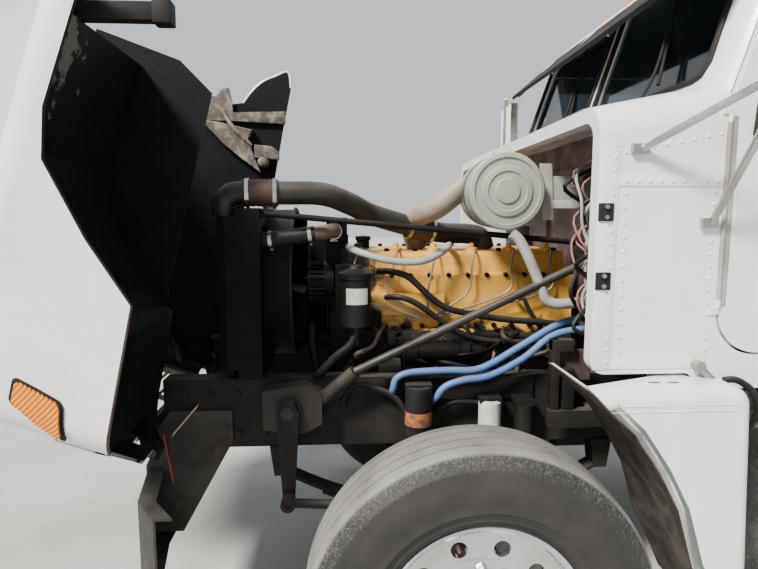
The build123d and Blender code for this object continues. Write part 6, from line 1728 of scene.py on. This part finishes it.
@dataclass
class Cab:
    """Trim, rivets, seals, handles, wipers, mirrors and the steering wheel of the cab."""

    side: float = 0.97
    glass_foot: Point = (-0.7, 0.0, 2.06)
    glass_up: Point = (-0.3107, 0.0, 0.9505)
    glass_out: Point = (0.9505, 0.0, 0.3107)

    def on_glass(self, y: float, up: float, proud: float = 0.0) -> Vector:
        """A place on the windshield.

        Args:
            y: Across the truck.
            up: Along the glass from its foot.
            proud: How far it stands off the glass.

        Returns:
            The point.
        """
        foot = Vector(self.glass_foot) + Vector((0, y, 0))
        return foot + up * Vector(self.glass_up) + proud * Vector(self.glass_out)

    def skin(self) -> None:
        """The flange and seam strips on the cowl's sides, with rivets and hinge plates."""
        y = self.side
        strips = Form()
        rivets = Pattern("cab_rivets", Unit.RIVET, (0.013, 0.013, 0.0035), CAB_WHITE, slot="body_paint")
        plates = Form()
        bolts = Pattern("plate_bolts", Unit.BOLT, (0.014, 0.014, 0.008), DULL_STEEL)
        for side in (1, -1):
            out, edge = (0, side, 0), side * y
            inner, proud, face = side * (y - 0.001), side * (y + 0.003), side * (y + 0.0025)
            strips.box((-0.4, inner, 1.215), (-0.346, proud, 1.885), 0.001)
            for low, high, left, right in ((1.755, 1.785, -0.712, -0.4), (1.215, 1.24, -0.66, -0.4),
                    (2.52, 2.545, -1.93, -0.9), (1.165, 1.19, -1.94, -0.9)):
                strips.box((left, inner, low), (right, face, high), 0.001)
            for across, x, z, x_end, z_end, count in ((face, -0.387, 1.24, -0.387, 1.87, 19),
                    (face, -0.425, 1.77, -0.695, 1.77, 9), (edge, -0.69, 1.27, -0.69, 1.74, 14),
                    (edge, -0.425, 1.735, -0.425, 1.27, 12), (edge, -0.42, 1.85, -0.7, 1.905, 8),
                    (edge, -1.9, 1.23, -1.9, 2.48, 26), (edge, -1.73, 1.3, -1.73, 2.46, 24),
                    (face, -0.93, 2.533, -1.91, 2.533, 22), (face, -0.93, 1.178, -1.92, 1.178, 20)):
                rivets.row((x, across, z), (x_end, across, z_end), count, out)
            rivets.row((-0.372, side * 0.6, 1.994), (-0.372, 0.0, 1.994), 12, (0, 0, 1))
            for z in (1.681, 1.481):
                plates.box((-0.388, edge, z - 0.026), (-0.344, side * (y + 0.008), z + 0.026), 0.002)
                for away in (-0.015, 0.015):
                    bolts.put((-0.366, side * (y + 0.008), z + away), out)
            for step in range(7):
                z = 1.25 + 0.2 * step
                rivets.row((-1.9505, side * 0.93, z), (-1.9505, side * 0.62, z), 5, (-1, 0, 0))
        add_piece("cab_seams", strips, CAB_WHITE, slot="body_paint")
        add_piece("hood_guide_plates", plates, RUBBER)
        rivets.make()
        bolts.make()

    def doors(self) -> None:
        """Each door's hinge, window seal, quarter light bar, pressed bead and handle."""
        y = self.side
        window = [(-0.8, 1.9), (-0.808, 2.005), (-0.945, 2.41), (-0.962, 2.428), (-1.59, 2.43),
            (-1.612, 2.405), (-1.615, 1.905), (-1.595, 1.882), (-0.82, 1.88), (-0.8, 1.9)]
        bead = [(-0.88, 1.35), (-0.85, 1.4), (-0.85, 1.76), (-0.88, 1.79), (-1.57, 1.79), (-1.6, 1.76),
            (-1.6, 1.38), (-1.57, 1.35), (-0.88, 1.35)]
        for name, side in SIDES:
            body = f"door_{name}"
            hinge = Form().tube([(-0.722, side * 0.972, 1.4215), (-0.722, side * 0.972, 1.9385)], 0.0074,
                14, 1)
            hinge.box((-0.745, side * y, 1.405), (-0.729, side * (y + 0.003), 1.955), 0.001)
            add_piece(f"door_hinge_{name}", hinge, SEAL_GREY, body)
            seal = Form().tube([(x, side * (y + 0.001), z) for x, z in window], 0.0085, 8, 1)
            seal.box((-1.052, side * (y - 0.028), 1.885), (-1.03, side * (y - 0.006), 2.425), 0.002)
            add_piece(f"window_seal_{name}", seal, RUBBER, body)
            add_piece(f"door_bead_{name}", Form().tube([(x, side * y, z) for x, z in bead], 0.005, 8, 1),
                CAB_WHITE, body, slot="body_paint")
            handle = Form().box((-1.61, side * y, 1.655), (-1.47, side * (y + 0.006), 1.725), 0.003)
            handle.tube(
                [(-1.595, side * (y + 0.004), 1.69), (-1.585, side * (y + 0.034), 1.69),
                (-1.5, side * (y + 0.036), 1.69), (-1.49, side * (y + 0.004), 1.69)], 0.009, 10, 3)
            add_piece(f"door_handle_{name}", handle, RUBBER, body)

    def glazing(self) -> None:
        """Windshield and rear window seals, and the wipers."""
        seal = Form()
        for side in (1, -1):
            edge = [(side * 0.44, 0.032), (side * 0.8, 0.032), (side * 0.835, 0.04), (side * 0.856, 0.075),
                (side * 0.833, 0.47), (side * 0.818, 0.5), (side * 0.785, 0.512), (side * 0.032, 0.512),
                (side * 0.03, 0.034), (side * 0.44, 0.032)]
            seal.tube([self.on_glass(y, up, 0.002) for y, up in edge], 0.011, 8, 1)
        seal.tube(
            [(-1.951, y, z) for y, z in ((0, 1.96), (0.5, 1.96), (0.518, 1.98), (0.518, 2.36), (0.5, 2.38),
            (-0.5, 2.38), (-0.518, 2.36), (-0.518, 1.98), (-0.5, 1.96), (0, 1.96))], 0.011, 8, 1)
        add_piece("window_seals", seal, RUBBER)
        wipers = Form()
        for y in (0.62, -0.18):
            wipers.lathe([(0, 0.0), (0, 0.02), (0.022, 0.017), (0.026, 0.0)], (-0.63, y, 2.043),
                (0.19, 0, 0.98), 20)
            wipers.tube(
                [(-0.632, y, 2.064), self.on_glass(y - 0.03, 0.1, 0.036),
                self.on_glass(y - 0.07, 0.26, 0.026)], 0.006, 8, 4)
            wipers.tube(
                [self.on_glass(y - 0.07 + 0.018 * turn, up, 0.0165)
                for turn, up in ((3.0, 0.06), (0.0, 0.26), (-3.0, 0.46))], 0.0065, 8, 3)
        add_piece("wipers", wipers, RUBBER)

    def fittings(self) -> None:
        """Grab handles, roof lamps, visor stays, mirror glass and the handwheel."""
        y = self.side
        bars = Form()
        for side in (1, -1):
            bars.tube(
                [(-1.815, side * (y - 0.002), 1.33), (-1.815, side * (y + 0.055), 1.345),
                (-1.815, side * (y + 0.062), 1.42), (-1.815, side * (y + 0.062), 2.12),
                (-1.815, side * (y + 0.055), 2.195), (-1.815, side * (y - 0.002), 2.21)], 0.0145, 14, 4)
            for x, z in ((-1.815, 1.33), (-1.815, 2.21)):
                bars.box((x - 0.03, side * y, z - 0.03), (x + 0.03, side * (y + 0.005), z + 0.03), 0.002)
        add_piece("grab_handles", bars, BARE_STEEL)
        lamps = Form()
        feet = Form()
        for across in (-0.62, -0.3, 0.0, 0.3, 0.62):
            lamps.box((-1.075, across - 0.055, 2.7), (-1.025, across + 0.055, 2.732), 0.011)
            feet.box((-1.085, across - 0.064, 2.684), (-1.015, across + 0.064, 2.703), 0.003)
        add_piece("roof_lamps", lamps, LENS_AMBER)
        add_piece("roof_lamp_feet", feet, RUBBER)
        stays = Form()
        for across in (-0.86, -0.3, 0.3, 0.86):
            stays.tube([(-0.655, across, 2.3775), (-0.8, across, 2.52), (-0.868, across, 2.585)], 0.007, 8,
                1)
        add_piece("visor_stays", stays, DULL_STEEL)
        glass = Form()
        backs = Form()
        for side in (1, -1):
            middle = side * 1.25
            for low, high in ((1.966, 2.196), (2.208, 2.394)):
                glass.box((-0.7465, middle - 0.086, low), (-0.741, middle + 0.086, high), 0.002)
            backs.box((-0.697, middle - 0.089, 1.966), (-0.69, middle + 0.089, 2.394), 0.01)
            backs.tube([(-0.69, middle, 2.438), (-0.69, middle, 2.446)], 0.015, 12, 1)
        add_piece("mirror_glass", glass, CHROME)
        add_piece("mirror_backs", backs, CAB_WHITE, slot="body_paint")
        wheel = Form()
        axis = Vector((-0.8, 0, 0.6))
        centre = Vector((-1.01, 0.455, 1.83))
        wheel.lathe([(0.014 * math.sin(math.radians(a)), 0.225 + 0.014 * math.cos(math.radians(a)))
            for a in range(0, 360, 45)], centre, axis, 40, True)
        turn = axis.to_track_quat("Z", "Y")
        for x, y in circle(3):
            spoke = turn @ Vector((x, y, 0))
            wheel.tube([centre - axis * 0.02, centre + spoke * 0.222], 0.011, 8, 1)
        wheel.tube([centre + axis * 0.02, centre - axis * 0.1], 0.045, 16, 1)
        wheel.tube([centre - axis * 0.09, centre - axis * 0.22], 0.028, 12, 1)
        add_piece("handwheel", wheel, RUBBER)

    def build(self) -> None:
        """Makes all of it."""
        self.skin()
        self.doors()
        self.glazing()
        self.fittings()


# Quarter fenders

@dataclass
class QuarterFenders:
    """What dresses the fenders behind the front wheels, and the bracket and hose beside them."""

    inner: float = 0.752
    out: float = 1.1
    top: float = 1.19
    arch: tuple[tuple[float, float], ...] = ((-0.298, 1.182), (-0.349, 1.129), (-0.427, 1.057),
        (-0.505, 0.943), (-0.566, 0.827), (-0.618, 0.653), (-0.655, 0.59), (-0.722, 0.44))

    def ways(self) -> list[Vector]:
        """The direction towards the wheel at each point of the arch.

        Returns:
            A unit vector for each point, in the plane of the arch.
        """
        found = []
        for before, after in zip(self.arch[:1] + self.arch, self.arch[1:] + self.arch[-1:]):
            along = (Vector(after) - Vector(before)).normalized()
            found.append(Vector((-along.y, along.x)))
        return found

    def build(self) -> None:
        """Makes the linings, flanges, creases, chips, the bracket and the hose."""
        lining, flange, crease, chips = Form(), Form(), Form(), Form()
        rings = []
        for place, way in zip(self.arch, self.ways()):
            near, far = Vector(place) - way * 0.001, Vector(place) + way * 0.003
            rings.append(
                [lining.mesh.verts.new((spot.x, y, spot.y))
                for spot, y in ((near, self.inner), (far, self.inner), (far, self.out - 0.006),
                (near, self.out - 0.006))])
        lining.face_ring(rings, True)
        edge = [Vector((-0.335, 1.143)), *[Vector(place) for place in self.arch[1:]]]
        band = [place - way * 0.028 for place, way in zip(edge, self.ways())]
        band[0] = Vector((-0.362, 1.15))
        for (low, high), (low_next, high_next) in zip(zip(edge, band), zip(edge[1:], band[1:])):
            flange.slab([(spot.x, self.out - 0.001, spot.y) for spot in (low, low_next, high_next, high)],
                (0, 0.0025, 0))
        for z in (1.144, 1.127):
            crease.tube([(-0.352, self.out - 0.001, z), (-0.72, self.out - 0.001, z)], 0.0028, 8, 1)
        for x, y in ((-0.507, 1.028), (-0.562, 1.032)):
            for away, wide in ((0.0, 0.009), (0.013, 0.006), (-0.012, 0.007)):
                chips.lathe([(0.0, wide), (0.0012, wide * 0.8), (0.0012, 0.0)],
                    (x + away, y, self.top - 0.0002), (0, 0, 1), 9)
        for name, form, finish in (("quarter_linings", lining, LINING_DUSTY),
                ("quarter_flanges", flange, FLANGE_GREY), ("quarter_creases", crease, FENDER_WHITE)):
            add_piece(name, form.mirrored(), finish)
        add_piece("paint_chips", chips, COUPLER)
        bracket = Form()
        for low, high in (((-0.412, 0.52, 0.94), (-0.381, 0.56, 1.215)),
                ((-0.47, 0.52, 0.94), (-0.425, 0.56, 1.105)),
                ((-0.464, 0.518, 1.17), (-0.381, 0.562, 1.215)),
                ((-0.6, 0.52, 0.877), (-0.375, 0.566, 0.946)), ((-0.6, 0.428, 0.877), (-0.54, 0.54, 0.94))):
            bracket.box(low, high, 0.004)
        add_piece("bay_bracket", bracket, CHASSIS_BLACK)
        add_piece("bay_panel", Form().box((-0.545, 0.511, 1.05), (-0.428, 0.521, 1.17), 0.003),
            FIREWALL_PINK)
        clevis = Form().tube([(-0.663, 0.99, 1.228), (-0.712, 0.991, 1.18), (-0.755, 0.994, 1.148)], 0.011,
            12, 3)
        for x, z in ((-0.663, 1.228), (-0.75, 1.152)):
            clevis.lathe(hoop(-0.018, 0.013, 0.0, 0.015), (x, 0.992, z), (0, 1, 0), 16)
        add_piece("hold_down_clevis", clevis, DULL_STEEL)
        hose = [(-0.735, 1.004, 1.186), (-0.765, 1.006, 1.188), (-0.797, 1.004, 1.174),
            (-0.832, 1.0, 1.144), (-0.862, 0.985, 1.08), (-0.87, 0.93, 1.01), (-0.87, 0.8, 0.985),
            (-0.87, 0.428, 0.98)]
        add_piece("side_hose", Form().tube(hose, 0.0105, 12, 6), HOSE_BLACK)


# Chassis and bed

@dataclass
class Chassis:
    """Bolts, brake chambers, clips, tank straps, treads, lamps and the stack's guard along the frame."""

    rail: float = 0.43

    def frame(self) -> None:
        """Rail bolts, spring clips, brake chambers and the bolts round the axle covers."""
        bolts = Pattern("frame_bolts", Unit.BOLT, (0.028, 0.028, 0.014), CHASSIS_BLACK)
        for side in (1, -1):
            for z in (0.835, 0.99):
                bolts.row((-0.62, side * self.rail, z), (-6.3, side * self.rail, z), 44, (0, side, 0))
                bolts.row((1.0, side * self.rail, z), (0.7, side * self.rail, z), 4, (0, side, 0))
            for y in (0.3, 0.56):
                bolts.row((1.126, side * y, 0.64), (1.126, side * y, 0.42), 2, (1, 0, 0))
        for x in (-4.54, -5.86):
            bolts.ring((x - 0.15, 0, 0.558), (-1, 0, 0), 0.155, 12)
        bolts.make()
        chambers = Form()
        for side in (1, -1):
            for x, y, z, along in ((-4.78, 0.36, 0.66, -1), (-6.1, 0.36, 0.66, -1), (-0.2, 0.36, 0.6, -1)):
                chambers.lathe(
                    [(0, 0.0), (0, 0.03), (0.02, 0.072), (0.065, 0.08), (0.072, 0.088), (0.082, 0.088),
                    (0.09, 0.08), (0.13, 0.076), (0.15, 0.04), (0.152, 0.0)], (x, side * y, z),
                    (along, 0, 0.2), 28)
        add_piece("brake_chambers", chambers, CHASSIS_BLACK)
        clips = Form()
        for side in (1, -1):
            for x in (-0.052, 0.052):
                for y in (0.36, 0.44):
                    clips.tube([(x, side * y, 0.44), (x, side * y, 0.76)], 0.01, 8, 1)
        add_piece("spring_clips", clips, CHASSIS_BLACK)

    def sides(self) -> None:
        """Tank straps and cap, step treads, and the battery box's lid."""
        straps = Form()
        for x in (-1.16, -1.7):
            straps.lathe(hoop(-0.026, 0.026, 0.2845, 0.2885), (x, 0.765, 0.7), (1, 0, 0), 72, True)
        for x, way in ((-0.98, 1), (-1.88, -1)):
            straps.lathe([(0.0, 0.286), (0.006, 0.282), (0.016, 0.24), (0.024, 0.14), (0.026, 0.0)],
                (x, 0.765, 0.7), (way, 0, 0), 64)
        straps.lathe([(0, 0.0), (0, 0.062), (0.03, 0.062), (0.036, 0.056), (0.036, 0.0)],
            (-1.42, 0.895, 0.945), (0, 0.46, 0.89), 32)
        add_piece("tank_straps", straps, BARE_STEEL)
        treads = Pattern("step_treads", Unit.BLOCK, (0.012, 0.15, 0.01), DULL_STEEL)
        for number in range(13):
            treads.put((-1.055 - 0.027 * number, 1.032, 0.5605), (0, 0, 1), (1, 0, 0))
            treads.put((-1.055 - 0.04 * number, -0.985, 0.803), (0, 0, 1), (1, 0, 0))
        treads.make()
        lid = Form().box((-1.612, -0.903, 0.945), (-0.972, -0.425, 0.987), 0.004)
        for x in (-1.15, -1.43):
            lid.tube([(x, -0.905, 0.955), (x, -0.918, 0.94), (x, -0.912, 0.88)], 0.008, 8, 3)
        add_piece("battery_lid", lid, LINER_BLACK)

    def ends(self) -> None:
        """Straps by the bumper, tail lenses and the stack's guard and clamps."""
        red = Form().slab(
            [(0.996, 0.69, 0.945), (0.996, 0.716, 0.945), (0.972, 0.712, 0.775), (0.972, 0.688, 0.775)],
            (-0.004, 0, 0))
        add_piece("red_strap", red, STRAP_RED)
        beige = Form().slab(
            [(0.945, 0.43, 0.962), (0.953, 0.43, 0.944), (1.052, 0.43, 0.83), (1.042, 0.43, 0.85)],
            (0, 0.022, 0))
        add_piece("beige_strap", beige, STRIP_BEIGE)
        lenses = Form()
        for side in (1, -1):
            for z in (0.848, 0.932):
                lenses.lathe([(0, 0.0), (0, 0.036), (0.008, 0.036), (0.013, 0.028), (0.015, 0.0)],
                    (-6.6, side * 0.388, z), (-1, 0, 0), 28)
        add_piece("tail_lenses", lenses, LENS_RED)
        slots = Pattern("stack_slots", Unit.BLOCK, (0.01, 0.052, 0.004), OILY_BLACK)
        for level in range(13):
            for across, along in circle(14, 0.5 * (level % 2)):
                out = Vector((across, along, 0))
                slots.put(Vector((-2.085, -0.86, 1.49 + 0.07 * level)) + 0.1175 * out, out,
                    (-out.y, out.x, 0))
        slots.make()
        clamps = Form()
        for z in (1.36, 1.425, 2.405, 2.47, 2.9):
            radius = 0.1195 if 1.4 < z < 2.43 else 0.0635
            clamps.lathe(hoop(-0.01, 0.01, radius - 0.003, radius + 0.002), (-2.085, -0.86, z), (0, 0, 1),
                40, True)
        add_piece("stack_clamps", clamps, BARE_STEEL)

    def build(self) -> None:
        """Makes all of it."""
        self.frame()
        self.sides()
        self.ends()


@dataclass
class Bed:
    """What the dump bed carries: headboard ribs, rungs, hooks, lamps, weld rows and gate latches."""

    front: float = -2.26

    def build(self) -> None:
        """Makes all of it."""
        ribs = Form()
        for side in (1, -1):
            for y in (0.24, 0.62, 0.98):
                ribs.box((self.front - 0.002, side * (y - 0.028), 1.345),
                    (self.front + 0.04, side * (y + 0.028), 2.47), 0.006)
        for z in (1.7, 2.1):
            for side in (1, -1):
                ribs.box((self.front - 0.002, side * 0.15, z - 0.022),
                    (self.front + 0.032, side * 1.17, z + 0.022), 0.005)
        add_piece("headboard_ribs", ribs, BED_GREY, "bed", slot="bed_paint")
        rungs = Form()
        for z in (1.48, 1.76, 2.04, 2.3):
            rungs.tube(
                [(-2.33, 1.208, z), (-2.33, 1.232, z - 0.004), (-2.58, 1.232, z - 0.004),
                (-2.58, 1.208, z)], 0.01, 8, 1)
        add_piece("bed_rungs", rungs, BED_GREY, "bed", slot="bed_paint")
        hooks = Pattern("tarp_hooks", Unit.BLOCK, (0.05, 0.012, 0.03), DULL_STEEL, "bed")
        seams = Pattern("bed_stitches", Unit.BLOCK, (0.06, 0.01, 0.008), BED_GREY, "bed", "bed_paint")
        for side in (1, -1):
            hooks.row((-2.6, side * 1.218, 2.42), (-6.4, side * 1.218, 2.42), 9, (0, side * 0.4, 1))
            for number in range(42):
                seams.put((-2.36 - 0.104 * number, side * 1.18, 1.4115), (0, side, 0), (1, 0, 0))
        hooks.make()
        seams.make()
        lamps = Form()
        for side in (1, -1):
            for x in (-2.9, -4.9, -6.45):
                lamps.lathe([(0, 0.0), (0, 0.03), (0.01, 0.028), (0.014, 0.0)], (x, side * 1.208, 1.36),
                    (0, side, 0), 24)
        add_piece("side_lamps", lamps, LENS_AMBER, "bed")
        latches = Form()
        for side in (1, -1):
            y = side * 1.205
            latches.tube([(-6.7, y, 1.345), (-6.79, y, 1.35), (-6.838, y, 1.365), (-6.842, y, 1.41),
                (-6.815, y, 1.425)], 0.015, 10, 4)
            latches.box((-6.735, y - 0.012, 1.32), (-6.64, y + 0.012, 1.37), 0.004)
        add_piece("gate_latches", latches, CHASSIS_BLACK, "bed")
        rows = Pattern("gate_stitches", Unit.BLOCK, (0.055, 0.008, 0.006), BED_GREY, "tailgate",
            "bed_paint")
        for y in (-0.42, 0.42):
            for number in range(12):
                rows.put((-6.778, y - 0.045, 1.42 + 0.078 * number), (-1, 0, 0), (0, 0, 1))
        rows.make()
        collar = Form().lathe(hoop(-0.018, 0.018, 0.0955, 0.101), (-2.13, 0, 2.215), (0, 0, 1), 48, True)
        add_piece("hoist_collar", collar, CHASSIS_BLACK, "hoist_barrel")


# Studio

@dataclass
class Studio:
    """The ground, the sky, the sun and the camera of the photograph."""

    ground_radius: float = 45.0
    sky: Colour = (0.8, 0.84, 0.9)
    sky_power: float = 0.95
    sun_way: Point = (-0.55, -0.5, -0.75)
    sun_power: float = 9.6
    eye: Point = (0.388, 2.586, 1.667)
    lens: float = 27.07
    yaw: float = 3.5
    pitch: float = 6.75

    def build(self) -> None:
        """Sets the ground, light and camera."""
        scene = bpy.context.scene
        form = Form().lathe([(0.0, 0.0), (0.0, self.ground_radius)], (0, 0, -0.001), (0, 0, 1), 64)
        ground = bpy.data.objects.new("ground", form.data("ground"))
        scene.collection.objects.link(ground)
        ground.data.materials.append(Finish("ground_pale", (0.42, 0.41, 0.39), (0.33, 0.32, 0.3),
            patch_scale=0.8, roughness=0.9, grain=0.3, grain_scale=60).build())
        ground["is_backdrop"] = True
        world = bpy.data.worlds.new("sky")
        scene.world = world
        world.use_nodes = True
        back = next(node for node in world.node_tree.nodes if node.type == "BACKGROUND")
        back.inputs[0].default_value = (*self.sky, 1.0)
        back.inputs[1].default_value = self.sky_power
        lamp = bpy.data.lights.new("sun", "SUN")
        lamp.energy = self.sun_power
        lamp.angle = math.radians(12)
        lamp.color = (1.0, 0.965, 0.91)
        sun = bpy.data.objects.new("sun", lamp)
        sun.rotation_euler = Vector(self.sun_way).to_track_quat("-Z", "Y").to_euler()
        scene.collection.objects.link(sun)
        data = bpy.data.cameras.new("camera")
        data.sensor_width = 36
        data.lens = self.lens
        camera = bpy.data.objects.new("camera", data)
        yaw, pitch = math.radians(self.yaw), math.radians(self.pitch)
        look = Vector(
            (-math.sin(yaw) * math.cos(pitch), -math.cos(yaw) * math.cos(pitch), -math.sin(pitch)))
        camera.location = Vector(self.eye) + TO_FRAME
        camera.rotation_euler = look.to_track_quat("-Z", "Y").to_euler()
        scene.collection.objects.link(camera)
        scene.camera = camera


def dress_nodes() -> None:
    """Gives every CAD node that stays its finish."""
    for finish, names in FINISHED_NODES:
        for name in names.split():
            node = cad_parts[name]
            if not node.material_slots:
                node.data.materials.append(None)
            for place in node.material_slots:
                place.material = finish.build()


def main() -> None:
    """Builds the studio and every sub-assembly."""
    random.seed(7)
    logging.basicConfig(level=logging.INFO)
    Studio().build()
    dress_nodes()
    for part in (SteerWheels(), TwinWheels(), Hood(), EngineBay(), Cab(), QuarterFenders(), Chassis(),
            Bed()):
        part.build()
        log.info("built %s", type(part).__name__)
    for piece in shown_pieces():
        log.info("piece %s", piece.name)


if __name__ == "__main__":
    main()
